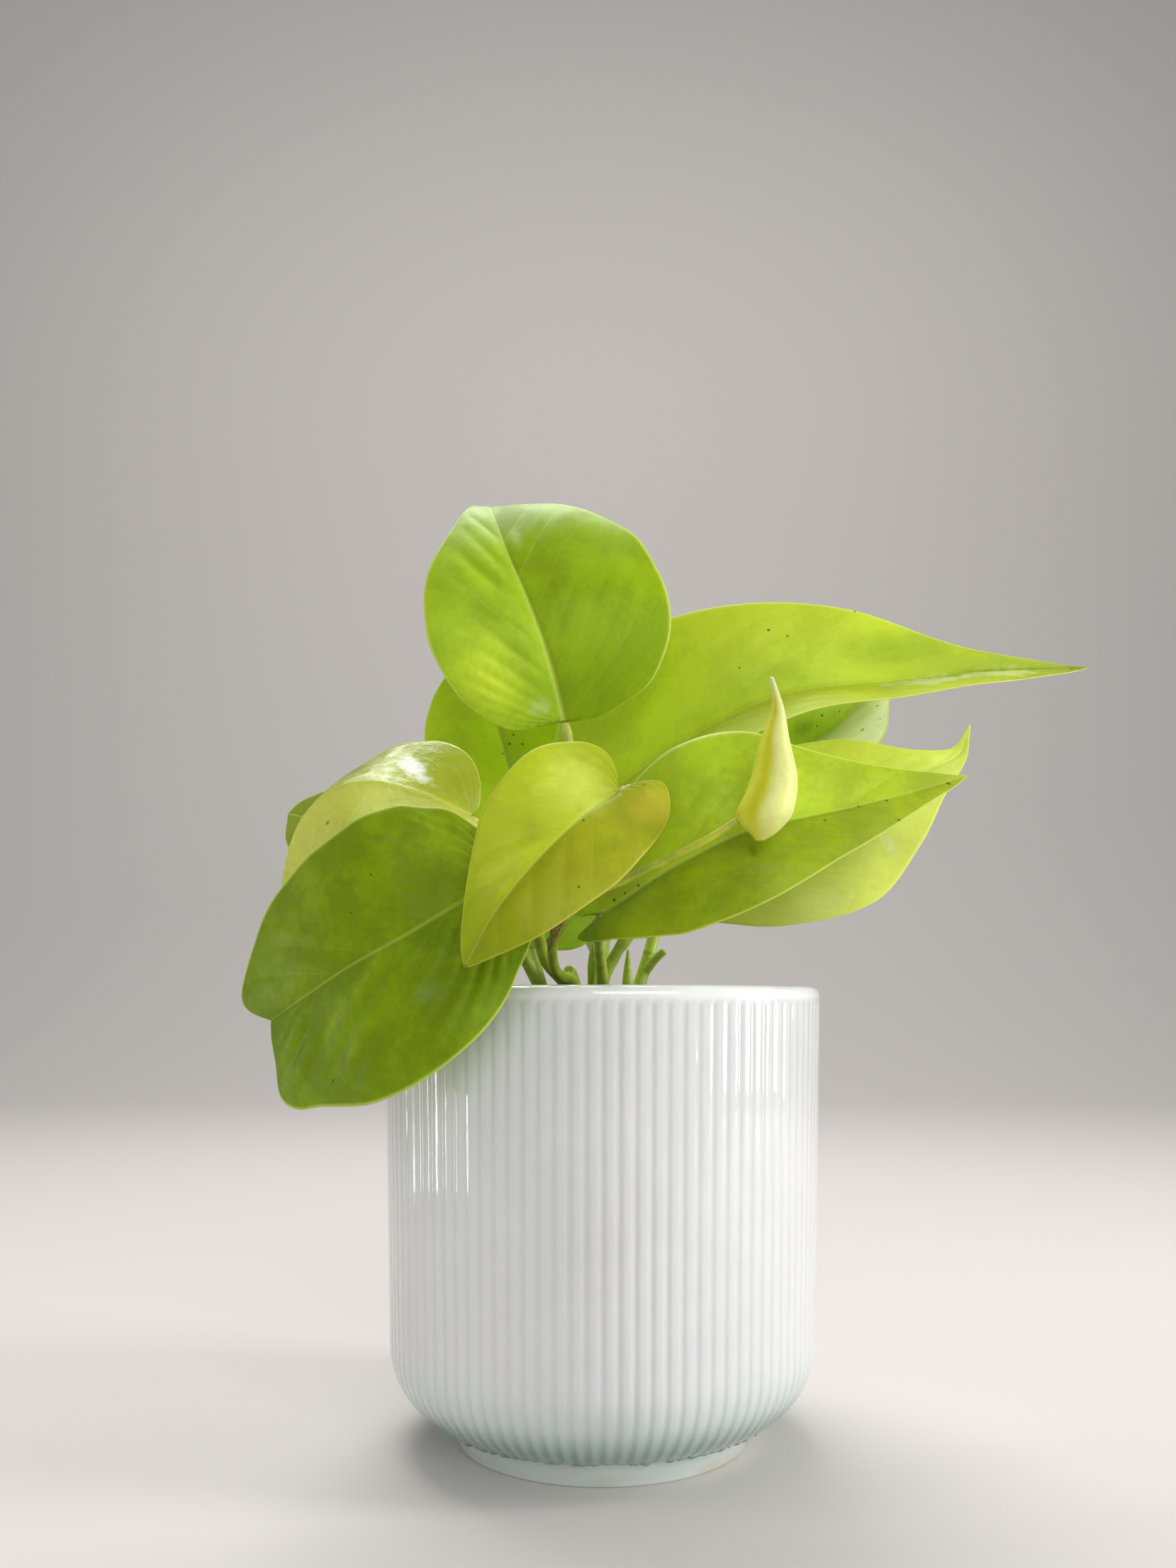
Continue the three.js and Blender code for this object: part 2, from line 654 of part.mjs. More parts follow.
function stemLimb(stem, extra) {
  const points = stem.path.map(vector);
  const foot = points[0].clone().setZ(SOIL_LEVEL - ROOT_DEPTH - extra);
  return limb([foot, ...points], [stem.radii[0], ...stem.radii].map((r) => r + extra), 8);
}

function petioleRadii(petiole) {
  const radius = petiole.radius ?? PETIOLE_RADIUS;
  return [radius * 1.15, radius, radius * 0.85, PETIOLE_TIP_RADIUS];
}

function limbPoints(branch) {
  const points = branch.path.map(vector);
  return branch.blade ? [...points, ...petioleEnd(branch.blade)] : points;
}

function vineGeometry(vine) {
  let solid = toManifold(stemLimb(vine.stem, 0));
  for (const branch of vine.limbs) {
    const points = limbPoints(branch);
    const radii = branch.radii ?? petioleRadii(branch);
    solid = solid.add(toManifold(limb(points, radii, STEPS_PER_SPAN * (points.length - 1))));
  }
  return toGeometry(solid);
}

function sheathGeometry(sheath) {
  const curve = new THREE.CatmullRomCurve3(limbPoints(sheath.petiole), false, "catmullrom", 0.5);
  const lift = petioleRadii(sheath.petiole)[0] + 2 * JOINT_GAP + BLADE_THICKNESS / 2;
  const midrib = [];
  for (let i = 0; i < sheath.points; i += 1) {
    const share = THREE.MathUtils.lerp(sheath.from, sheath.to, i / (sheath.points - 1));
    const tangent = curve.getTangentAt(share);
    const out = vector(sheath.blade.facing[0]).addScaledVector(tangent, tangent.y).normalize();
    midrib.push(curve.getPointAt(share).addScaledVector(out, lift).toArray());
  }
  return bladeGeometry({ ...sheath.blade, midrib });
}

function soilGeometry() {
  let solid = toManifold(soilBody());
  for (const vine of Object.values(VINES)) {
    solid = solid.subtract(toManifold(stemLimb(vine.stem, HOLE_GAP)));
  }
  return toGeometry(solid);
}

// Assembly

const plant = new THREE.Group();

function addPart(name, geometry, finish) {
  const mesh = new THREE.Mesh(geometry, new THREE.MeshStandardMaterial(FINISH[finish]));
  mesh.name = name;
  plant.add(mesh);
}

addPart("pot", potGeometry(), "glaze");
addPart("soil", soilGeometry(), "soil");
for (const [name, vine] of Object.entries(VINES)) {
  addPart(name, vineGeometry(vine), "stem");
}
for (const [name, blade] of Object.entries(BLADES)) {
  addPart(name, bladeGeometry(blade), blade.finish);
}
addPart(FURLED_LEAF.name, furledGeometry(FURLED_LEAF), FURLED_LEAF.finish);
addPart(SHEATH.name, sheathGeometry(SHEATH), SHEATH.finish);

export default plant;
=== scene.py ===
"""Young lime pothos in a reeded white pot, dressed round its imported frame.

The blades, the rolled leaf, the stems, the soil and the pot are modelled here as fine
meshes in the place of the frame's plain solids. Lengths are in metres unless a name says
otherwise, and MM turns a drawing's millimetres into metres.
"""

import logging
import math
from dataclasses import dataclass, field
from enum import Enum
from functools import cache

import bpy
import numpy as np
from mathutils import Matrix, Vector


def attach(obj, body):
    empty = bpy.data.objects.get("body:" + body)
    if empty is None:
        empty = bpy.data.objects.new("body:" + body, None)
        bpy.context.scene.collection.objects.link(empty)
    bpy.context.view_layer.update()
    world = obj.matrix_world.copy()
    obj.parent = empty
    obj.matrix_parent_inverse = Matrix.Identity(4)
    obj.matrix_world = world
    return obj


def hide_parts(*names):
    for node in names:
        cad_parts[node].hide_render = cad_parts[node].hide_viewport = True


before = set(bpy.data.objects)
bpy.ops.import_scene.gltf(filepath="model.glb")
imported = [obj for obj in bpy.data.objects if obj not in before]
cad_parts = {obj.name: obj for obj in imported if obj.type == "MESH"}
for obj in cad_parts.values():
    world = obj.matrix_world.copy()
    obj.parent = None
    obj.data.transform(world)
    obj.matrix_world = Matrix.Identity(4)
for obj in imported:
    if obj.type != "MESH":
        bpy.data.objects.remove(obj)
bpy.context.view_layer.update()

log = logging.getLogger("pothos")

MM = 0.001
VEIN_SWEEP = 0.85
BODY = "root"

# Heights in millimetres of the soil's surface and of the stems' lower ends
SOIL_LEVEL = 121.0
ROOT = 100.0

Array = np.ndarray
Object = bpy.types.Object
Socket = bpy.types.NodeSocket
Pair = tuple[float, float]
Colour = tuple[int, int, int]
Point = tuple[float, float, float]
Outline = tuple[Pair, ...]


def linear(colour: Colour) -> list[float]:
    """Turns a colour as seen on a screen into linear light, 0 to 1 a channel.

    Args:
        colour: red, green and blue, 0 to 255 each.

    Returns:
        The three channels.
    """
    shares = [value / 255 for value in colour]
    return [share / 12.92 if share <= 0.04045 else ((share + 0.055) / 1.055) ** 2.4
            for share in shares]


class Side(Enum):
    """The two halves of a blade, seen from above with its point away from the viewer."""

    LEFT = 0
    RIGHT = 1

    @property
    def sign(self) -> int:
        """Which way the half lies from the midrib."""
        return -1 if self is Side.LEFT else 1


# Curves and noise


class Spline:
    """A smooth curve through points, read by the share of its length."""

    def __init__(self, points: Array, samples: int = 600) -> None:
        """Measures the curve.

        Args:
            points: the points that it passes through, one a row.
            samples: how many short chords its length is measured with.
        """
        inner = np.asarray(points, dtype=float)
        first = 2 * inner[0] - inner[1]
        last = 2 * inner[-1] - inner[-2]
        self.points = np.vstack([first, inner, last])
        self.spans = len(inner) - 1
        self.steps = np.linspace(0, 1, samples + 1)
        chords = np.linalg.norm(np.diff(self._raw(self.steps)[0], axis=0), axis=1)
        self.lengths = np.concatenate([[0.0], np.cumsum(chords)])
        self.length = float(self.lengths[-1])

    def _raw(self, step: Array) -> tuple[Array, Array]:
        """Position and derivative at even steps of the parameter."""
        scaled = step * self.spans
        index = np.minimum(scaled.astype(int), self.spans - 1)
        w = (scaled - index)[:, None]
        before, start, end, after = (self.points[index + k] for k in range(4))
        leave = (end - before) / 2
        arrive = (after - start) / 2
        square = 3 * (end - start) - 2 * leave - arrive
        cube = 2 * (start - end) + leave + arrive
        position = start + w * (leave + w * (square + w * cube))
        slope = leave + w * (2 * square + 3 * w * cube)
        return position, slope

    def at(self, share: Array) -> tuple[Array, Array]:
        """Position and unit tangent.

        Args:
            share: shares of the length, 0 to 1.

        Returns:
            The positions and the tangents, one a row.
        """
        step = np.interp(np.atleast_1d(share) * self.length, self.lengths, self.steps)
        position, slope = self._raw(step)
        return position, unit(slope)


def unit(vectors: Array) -> Array:
    """Scales each row to length one."""
    return vectors / np.maximum(np.linalg.norm(vectors, axis=-1, keepdims=True), 1e-12)


def smooth(low: float, high: float, value: Array) -> Array:
    """Rises softly from 0 at low to 1 at high."""
    share = np.clip((value - low) / (high - low), 0, 1)
    return share * share * (3 - 2 * share)


class Waves:
    """Soft random relief made of plane waves, the same on every run."""

    def __init__(self, seed: int, wavelength: float, count: int = 24) -> None:
        """Draws the waves.

        Args:
            seed: number of the draw.
            wavelength: mean distance between crests.
            count: how many waves are summed.
        """
        rng = np.random.default_rng(seed)
        direction = unit(rng.normal(size=(count, 3)))
        spread = rng.uniform(0.7, 1.5, size=(count, 1))
        self.vectors = direction * spread * 2 * math.pi / wavelength
        self.phases = rng.uniform(0, 2 * math.pi, size=count)
        self.scale = math.sqrt(2 / count)

    def at(self, points: Array) -> Array:
        """Relief at points of two or three coordinates, about -1 to 1 in most places."""
        vectors = self.vectors[:, : points.shape[-1]]
        return np.sin(points @ vectors.T + self.phases).sum(axis=-1) * self.scale * 0.5


# Meshes


@dataclass
class Surface:
    """A mesh in the making: points, faces of three or four corners, and their notes."""

    points: list[Array] = field(default_factory=list)
    faces: list[Array] = field(default_factory=list)
    slots: list[Array] = field(default_factory=list)
    maps: dict[str, list[Array]] = field(default_factory=dict)
    count: int = 0

    def add(self, points: Array, **maps: Array) -> int:
        """Adds points.

        Args:
            points: the new points, in any shape that ends in three coordinates.
            maps: the two values that each map has at each point, by the map's name.

        Returns:
            The number of the first one.
        """
        start = self.count
        self.points.append(points.reshape(-1, 3))
        self.count += len(self.points[-1])
        for name, values in maps.items():
            self.maps.setdefault(name, []).append(values.reshape(-1, 2))
        return start

    def face(self, corners: Array, slot: int = 0) -> None:
        """Adds faces, one a row, in a material slot."""
        self.faces.append(corners)
        self.slots.append(np.full(len(corners), slot))

    def cap(self, height: float, start: int, count: int, flip: bool, **maps: Array) -> None:
        """Closes a ring of points with a fan round a pole on the upright axis.

        Args:
            height: the pole's height.
            start: number of the ring's first point.
            count: how many points the ring has.
            flip: whether the fan faces down.
            maps: the pole's map values.
        """
        pole = self.add(np.array([[0.0, 0.0, height]]), **maps)
        ring = np.arange(count)
        fan = np.stack([np.full(count, pole), start + ring, start + (ring + 1) % count], axis=-1)
        self.face(fan[:, ::-1] if flip else fan)

    def build(self, name: str, materials: list[bpy.types.Material]) -> Object:
        """Makes the object.

        Args:
            name: the object's name.
            materials: one for each slot.

        Returns:
            A smooth-shaded mesh object at the origin.
        """
        points = np.concatenate(self.points)
        corners = np.concatenate([f.ravel() for f in self.faces])
        sizes = np.concatenate([np.full(len(f), f.shape[1]) for f in self.faces])
        mesh = bpy.data.meshes.new(name)
        mesh.vertices.add(len(points))
        mesh.vertices.foreach_set("co", points.ravel().astype(np.float32))
        mesh.loops.add(len(corners))
        mesh.loops.foreach_set("vertex_index", corners.astype(np.int32))
        mesh.polygons.add(len(sizes))
        starts = np.concatenate([[0], np.cumsum(sizes)[:-1]])
        mesh.polygons.foreach_set("loop_start", starts.astype(np.int32))
        mesh.polygons.foreach_set("material_index", np.concatenate(self.slots).astype(np.int32))
        mesh.update(calc_edges=True)
        for title, parts in self.maps.items():
            layer = mesh.uv_layers.new(name=title)
            values = np.concatenate(parts)[corners]
            layer.data.foreach_set("uv", values.ravel().astype(np.float32))
        mesh.validate()
        mesh.shade_smooth()
        for material in materials:
            mesh.materials.append(material)
        return into_scene(name, mesh)


def into_scene(name: str, data: bpy.types.ID) -> Object:
    """Makes an object of a mesh, a lamp or a camera and puts it into the scene."""
    made = bpy.data.objects.new(name, data)
    bpy.context.scene.collection.objects.link(made)
    return made


def plain(made: Object) -> Object:
    """Turns an object with modifiers into a plain mesh object.

    Args:
        made: the object, whose modifiers are used up.

    Returns:
        The same object with its new mesh.
    """
    graph = bpy.context.evaluated_depsgraph_get()
    mesh = bpy.data.meshes.new_from_object(
        made.evaluated_get(graph), preserve_all_data_layers=True, depsgraph=graph)
    made.modifiers.clear()
    mesh.name = made.name
    made.data = mesh
    return made


def grid_faces(start: int, rows: int, columns: int, wrap: bool = False) -> Array:
    """Four-cornered faces of a grid of points.

    Args:
        start: number of the grid's first point.
        rows: how many rows of points it has.
        columns: how many points a row has.
        wrap: whether the last column joins the first.

    Returns:
        The corners, one face a row, anticlockwise where rows go up and columns right.
    """
    reach = columns if wrap else columns - 1
    row, column = np.meshgrid(np.arange(rows - 1), np.arange(reach), indexing="ij")
    beside = (column + 1) % columns
    a = start + row * columns + column
    b = start + row * columns + beside
    c = start + (row + 1) * columns + beside
    d = start + (row + 1) * columns + column
    return np.stack([a, b, c, d], axis=-1).reshape(-1, 4)


def band(first: Array, second: Array) -> Array:
    """Four-cornered faces between two equally long rows of point numbers."""
    return np.stack([first[:-1], second[:-1], second[1:], first[1:]], axis=-1)


def dress(piece: Object, slot: str, *nodes: str) -> None:
    """Puts a finished piece in the place of the frame's nodes and reports it.

    Args:
        piece: the finished piece.
        slot: the name of a material slot, which is only logged.
        nodes: the frame's nodes that it stands for, or none if it is added to them.
    """
    if nodes:
        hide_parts(*nodes)
    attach(piece, BODY)
    log.info("%s: %d faces, slot %s", piece.name, len(piece.data.polygons), slot)


# Node trees


class Tree:
    """Shorthand for building a node tree."""

    def __init__(self, nodes: bpy.types.NodeTree) -> None:
        """Takes the tree that nodes are added to."""
        self.tree = nodes

    def add(self, kind: str, settings: dict | None = None, **inputs: object) -> bpy.types.Node:
        """Adds a node.

        Args:
            kind: the node's type.
            settings: properties of the node, by name.
            inputs: input sockets by name, with _ for a space, each a value or a socket.

        Returns:
            The new node.
        """
        node = self.tree.nodes.new(kind)
        for name, value in (settings or {}).items():
            setattr(node, name, value)
        for name, value in inputs.items():
            self.feed(node.inputs[name.replace("_", " ")], value)
        return node

    def feed(self, socket: Socket, value: object) -> None:
        """Links a socket, or sets its value.

        Args:
            socket: the input socket.
            value: another node's output, a number, a vector or a screen colour.
        """
        if isinstance(value, Socket):
            self.tree.links.new(value, socket)
        elif socket.type == "RGBA" and len(value) == 3:
            socket.default_value = (*linear(value), 1.0)
        else:
            socket.default_value = value

    def math(self, operation: str, *values: object, clamp: bool = False) -> Socket:
        """Adds a Math node and returns its result."""
        node = self.add("ShaderNodeMath", {"operation": operation, "use_clamp": clamp})
        for socket, value in zip(node.inputs, values):
            self.feed(socket, value)
        return node.outputs[0]

    def times(self, first: object, second: object) -> Socket:
        """Multiplies two values."""
        return self.math("MULTIPLY", first, second)

    def from_half(self, value: object) -> Socket:
        """How far a value of 0 to 1 is from a half: 0 there and 1 at both ends."""
        return self.math("ABSOLUTE", self.math("MULTIPLY_ADD", value, 2.0, -1.0))

    def ramp(self, value: object, low: object, high: object, start: float = 0.0,
             end: float = 1.0) -> Socket:
        """Maps a value softly from one range to another.

        Args:
            value: what is mapped.
            low: the value that gives start.
            high: the value that gives end, which may be below low.
            start: the result at low.
            end: the result at high.

        Returns:
            The mapped value.
        """
        node = self.add("ShaderNodeMapRange", {"interpolation_type": "SMOOTHSTEP"})
        for name, number in (("Value", value), ("From Min", low), ("From Max", high),
                             ("To Min", start), ("To Max", end)):
            self.feed(node.inputs[name], number)
        return node.outputs[0]

    def blend(self, share: object, first: object, second: object, mode: str = "MIX") -> Socket:
        """Blends two colours.

        Args:
            share: how much of the second one shows, 0 to 1.
            first: the colour below.
            second: the colour laid over it.
            mode: how they are blended.

        Returns:
            The blended colour.
        """
        node = self.add("ShaderNodeMix", {"data_type": "RGBA", "blend_type": mode})
        self.feed(node.inputs[0], share)
        self.feed(node.inputs[6], first)
        self.feed(node.inputs[7], second)
        return node.outputs[2]

    def layers(self, body: object, *coats: tuple[object, object]) -> Socket:
        """Lays coats over a colour.

        Args:
            body: the colour below.
            coats: the share and the colour of each coat, from the lowest one up.

        Returns:
            The colour that shows.
        """
        for share, colour in coats:
            body = self.blend(share, body, colour)
        return body

    def shade(self, colour: object, value: object) -> Socket:
        """Makes a colour darker or lighter by a factor."""
        return self.add("ShaderNodeHueSaturation", Color=colour, Value=value).outputs[0]

    def noise(self, vector: object, scale: object, detail: float = 2.0) -> Socket:
        """Adds a Noise Texture and returns its value."""
        return self.add("ShaderNodeTexNoise", Vector=vector, Scale=scale, Detail=detail).outputs[0]

    def part(self, vector: object, axis: int) -> Socket:
        """One coordinate of a vector."""
        return self.add("ShaderNodeSeparateXYZ", Vector=vector).outputs[axis]

    def joined(self, x: object, y: object, z: object) -> Socket:
        """A vector of three coordinates."""
        return self.add("ShaderNodeCombineXYZ", X=x, Y=y, Z=z).outputs[0]

    def vector(self, operation: str, *values: object, **named: object) -> Socket:
        """Adds a Vector Math node.

        Args:
            operation: what it works out.
            values: its inputs in order.
            named: inputs that are set by name.

        Returns:
            Its result, which is a number for a length or a distance.
        """
        node = self.add("ShaderNodeVectorMath", {"operation": operation}, **named)
        for socket, value in zip(node.inputs, values):
            self.feed(socket, value)
        return node.outputs["Value" if operation in ("LENGTH", "DISTANCE") else "Vector"]


class SharedGroup(Tree):
    """A shader node group with named inputs and outputs, for any number of materials."""

    def __init__(self, name: str, inputs: dict[str, float | None], *outputs: str) -> None:
        """Starts the group.

        Args:
            name: the group's name.
            inputs: the default of each number by its name, or None for a vector.
            outputs: names of the numbers that it puts out.
        """
        super().__init__(bpy.data.node_groups.new(name, "ShaderNodeTree"))
        face = self.tree.interface
        for title, default in inputs.items():
            kind = "Vector" if default is None else "Float"
            socket = face.new_socket(name=title, in_out="INPUT", socket_type=f"NodeSocket{kind}")
            if default is not None:
                socket.default_value = default
        for title in outputs:
            face.new_socket(name=title, in_out="OUTPUT", socket_type="NodeSocketFloat")
        self.given = self.add("NodeGroupInput").outputs
        self.result = self.add("NodeGroupOutput").inputs


class Effects:
    """Shader node groups that several materials share, each built once."""

    @staticmethod
    @cache
    def veins() -> bpy.types.NodeTree:
        """Side veins that leave the midrib and sweep towards the point of the blade."""
        t = SharedGroup("leaf_veins", {"Blade": None, "Count": 8, "Sweep": VEIN_SWEEP,
                                       "Width": 0.06}, "Line", "Grain")
        out, rise = (t.part(t.given["Blade"], axis) for axis in (0, 1))
        across = t.from_half(out)
        side = t.math("GREATER_THAN", out, 0.5)
        bend = t.times(t.given["Sweep"], across)
        start = t.math("SUBTRACT", t.times(rise, t.math("ADD", bend, 1.0)), bend)
        turn = t.times(start, t.given["Count"])
        number = t.math("ADD", t.math("ROUND", turn), t.times(side, 37.0))
        chance = t.add("ShaderNodeTexWhiteNoise", {"noise_dimensions": "1D"}, W=number)
        near = t.from_half(t.math("FRACT", t.math("ADD", turn, 20.0)))
        line = t.ramp(near, t.math("SUBTRACT", 1.0, t.given["Width"]), 1.0)
        strength = t.times(t.math("MULTIPLY_ADD", chance.outputs[0], 0.8, 0.2),
                           t.ramp(across, 0.5, 0.97, 1.0, 0.0))
        t.feed(t.result["Line"], t.times(line, strength))
        place = t.joined(t.times(turn, 7.0), t.times(across, 3.0), t.times(side, 9.0))
        t.feed(t.result["Grain"], t.noise(place, 1.0, 3.0))
        return t.tree

    @staticmethod
    @cache
    def mottle() -> bpy.types.NodeTree:
        """Cloudy variation at two scales, from 0 to 1 about a half."""
        t = SharedGroup("mottle", {"Place": None, "Coarse": 60, "Fine": 400}, "Cloud")
        coarse = t.noise(t.given["Place"], t.given["Coarse"], 3.0)
        fine = t.noise(t.given["Place"], t.given["Fine"], 2.0)
        mixed = t.math("MULTIPLY_ADD", coarse, 0.72, t.times(fine, 0.28))
        t.feed(t.result["Cloud"], t.ramp(mixed, 0.32, 0.68))
        return t.tree

    @staticmethod
    @cache
    def specks() -> bpy.types.NodeTree:
        """Sparse small spots with soft edges."""
        t = SharedGroup("specks", {"Place": None, "Scale": 120, "Size": 0.12, "Share": 0.1},
                        "Spot")
        cells = t.add("ShaderNodeTexVoronoi", Vector=t.given["Place"], Scale=t.given["Scale"])
        chance = t.math("LESS_THAN", t.part(cells.outputs["Color"], 0), t.given["Share"])
        soft = t.ramp(cells.outputs["Distance"], t.given["Size"], 0.0)
        t.feed(t.result["Spot"], t.times(soft, chance))
        return t.tree


@dataclass
class Material:
    """A material under construction, with its main shader at hand."""

    name: str

    def __post_init__(self) -> None:
        """Makes the material and finds its shader."""
        self.made = bpy.data.materials.new(self.name)
        self.made.use_nodes = True
        self.tree = Tree(self.made.node_tree)
        self.shader = self.made.node_tree.nodes["Principled BSDF"]
        self.place = self.tree.add("ShaderNodeTexCoord").outputs["Object"]

    def set(self, **values: object) -> None:
        """Sets or links the shader's sockets, with _ for a space."""
        for name, value in values.items():
            self.tree.feed(self.shader.inputs[name.replace("_", " ")], value)

    def group(self, tree: bpy.types.NodeTree, **inputs: object) -> bpy.types.Node:
        """Places a shared effect."""
        node = self.tree.tree.nodes.new("ShaderNodeGroup")
        node.node_tree = tree
        for name, value in inputs.items():
            self.tree.feed(node.inputs[name], value)
        return node

    def cloud(self, coarse: float, fine: float) -> Socket:
        """Cloudy variation over the piece, at a coarse and a fine scale."""
        return self.group(Effects.mottle(), Place=self.place, Coarse=coarse, Fine=fine).outputs[0]

    def spots(self, scale: float, size: float, share: float) -> Socket:
        """Spots strewn over the piece, in a share of the cells of a pattern at a scale."""
        return self.group(Effects.specks(), Place=self.place, Scale=scale, Size=size,
                          Share=share).outputs[0]

    def upright(self, height: float) -> Socket:
        """The place on the piece with its height scaled, which draws patterns out upwards."""
        return self.tree.add("ShaderNodeMapping", Vector=self.place,
                             Scale=(1.0, 1.0, height)).outputs[0]

    def map(self, name: str) -> Socket:
        """Coordinates of one of the piece's own maps."""
        return self.tree.add("ShaderNodeUVMap", {"uv_map": name}).outputs[0]

    def bump(self, height: object, strength: float, distance: float,
             below: object | None = None) -> Socket:
        """Adds a Bump node and returns its normal.

        Args:
            height: the relief's socket.
            strength: how much of it is used.
            distance: its height in metres.
            below: the normal of coarser relief under it.

        Returns:
            The bent normal.
        """
        node = self.tree.add("ShaderNodeBump", Strength=strength, Distance=distance, Height=height)
        if below is not None:
            self.tree.feed(node.inputs["Normal"], below)
        return node.outputs[0]


class Recipe(Tree):
    """A Geometry Nodes tree with named inputs, which ends in real faces and a material."""

    def __init__(self, name: str, **kinds: str) -> None:
        """Starts the tree.

        Args:
            name: the tree's name.
            kinds: the kind of each named input, Float or Int.
        """
        super().__init__(bpy.data.node_groups.new(name, "GeometryNodeTree"))
        face = self.tree.interface
        self.sockets = {
            title: face.new_socket(name=title, in_out="INPUT", socket_type=f"NodeSocket{kind}")
            for title, kind in {"Geometry": "Geometry", **kinds, "Material": "Material"}.items()}
        face.new_socket(name="Geometry", in_out="OUTPUT", socket_type="NodeSocketGeometry")
        self.given = self.add("NodeGroupInput").outputs
        self.result = self.add("NodeGroupOutput").inputs

    def finish(self, shape: Socket) -> None:
        """Ends the tree: its shape becomes real faces in the given material."""
        real = self.add("GeometryNodeRealizeInstances", Geometry=shape)
        painted = self.add("GeometryNodeSetMaterial", Geometry=real.outputs[0],
                           Material=self.given["Material"])
        self.feed(self.result["Geometry"], painted.outputs[0])

    def apply(self, made: Object, **values: object) -> Object:
        """Runs the tree on an object.

        Args:
            made: the object that it works on.
            values: the value of each named input.

        Returns:
            The same object as a plain mesh.
        """
        modifier = made.modifiers.new("Recipe", "NODES")
        modifier.node_group = self.tree
        for title, value in values.items():
            modifier[self.sockets[title].identifier] = value
        return plain(made)


# Finishes


@dataclass(frozen=True)
class Patch:
    """A soft spot of another colour on a blade. Some are real marks and some are painted light or
    shade.

    Its place and its reach are in millimetres across and along the flat blade, with the
    left half's distances across negative.
    """

    place: Pair
    reach: Pair
    colour: Colour
    share: float = 0.5
    turn: float = 0.0
    ragged: float = 0.5

    def paint(self, m: "Material", flat: Socket, body: Socket) -> Socket:
        """Lays the spot over a colour.

        Args:
            m: the blade's material.
            flat: the place on the flat blade.
            body: the colour below.

        Returns:
            The colour with the spot on it.
        """
        t = m.tree
        near = t.add("ShaderNodeMapping", {"vector_type": "TEXTURE"}, Vector=flat,
                     Location=(self.place[0] * MM, self.place[1] * MM, 0.0),
                     Rotation=(0.0, 0.0, math.radians(self.turn)),
                     Scale=(self.reach[0] * MM, self.reach[1] * MM, 1.0)).outputs[0]
        distance = t.vector("LENGTH", near)
        if self.ragged:
            rough = t.math("SUBTRACT", t.noise(m.place, 260.0, 3.0), 0.5)
            distance = t.math("ADD", distance, t.times(rough, self.ragged))
        return t.blend(t.ramp(distance, 0.15, 1.0, self.share, 0.0), body, self.colour)


# How light glows through thin leaf
GLOW = {"Subsurface_Weight": 0.3, "Subsurface_Scale": 0.0012,
        "Subsurface_Radius": (0.9, 1.0, 0.25)}


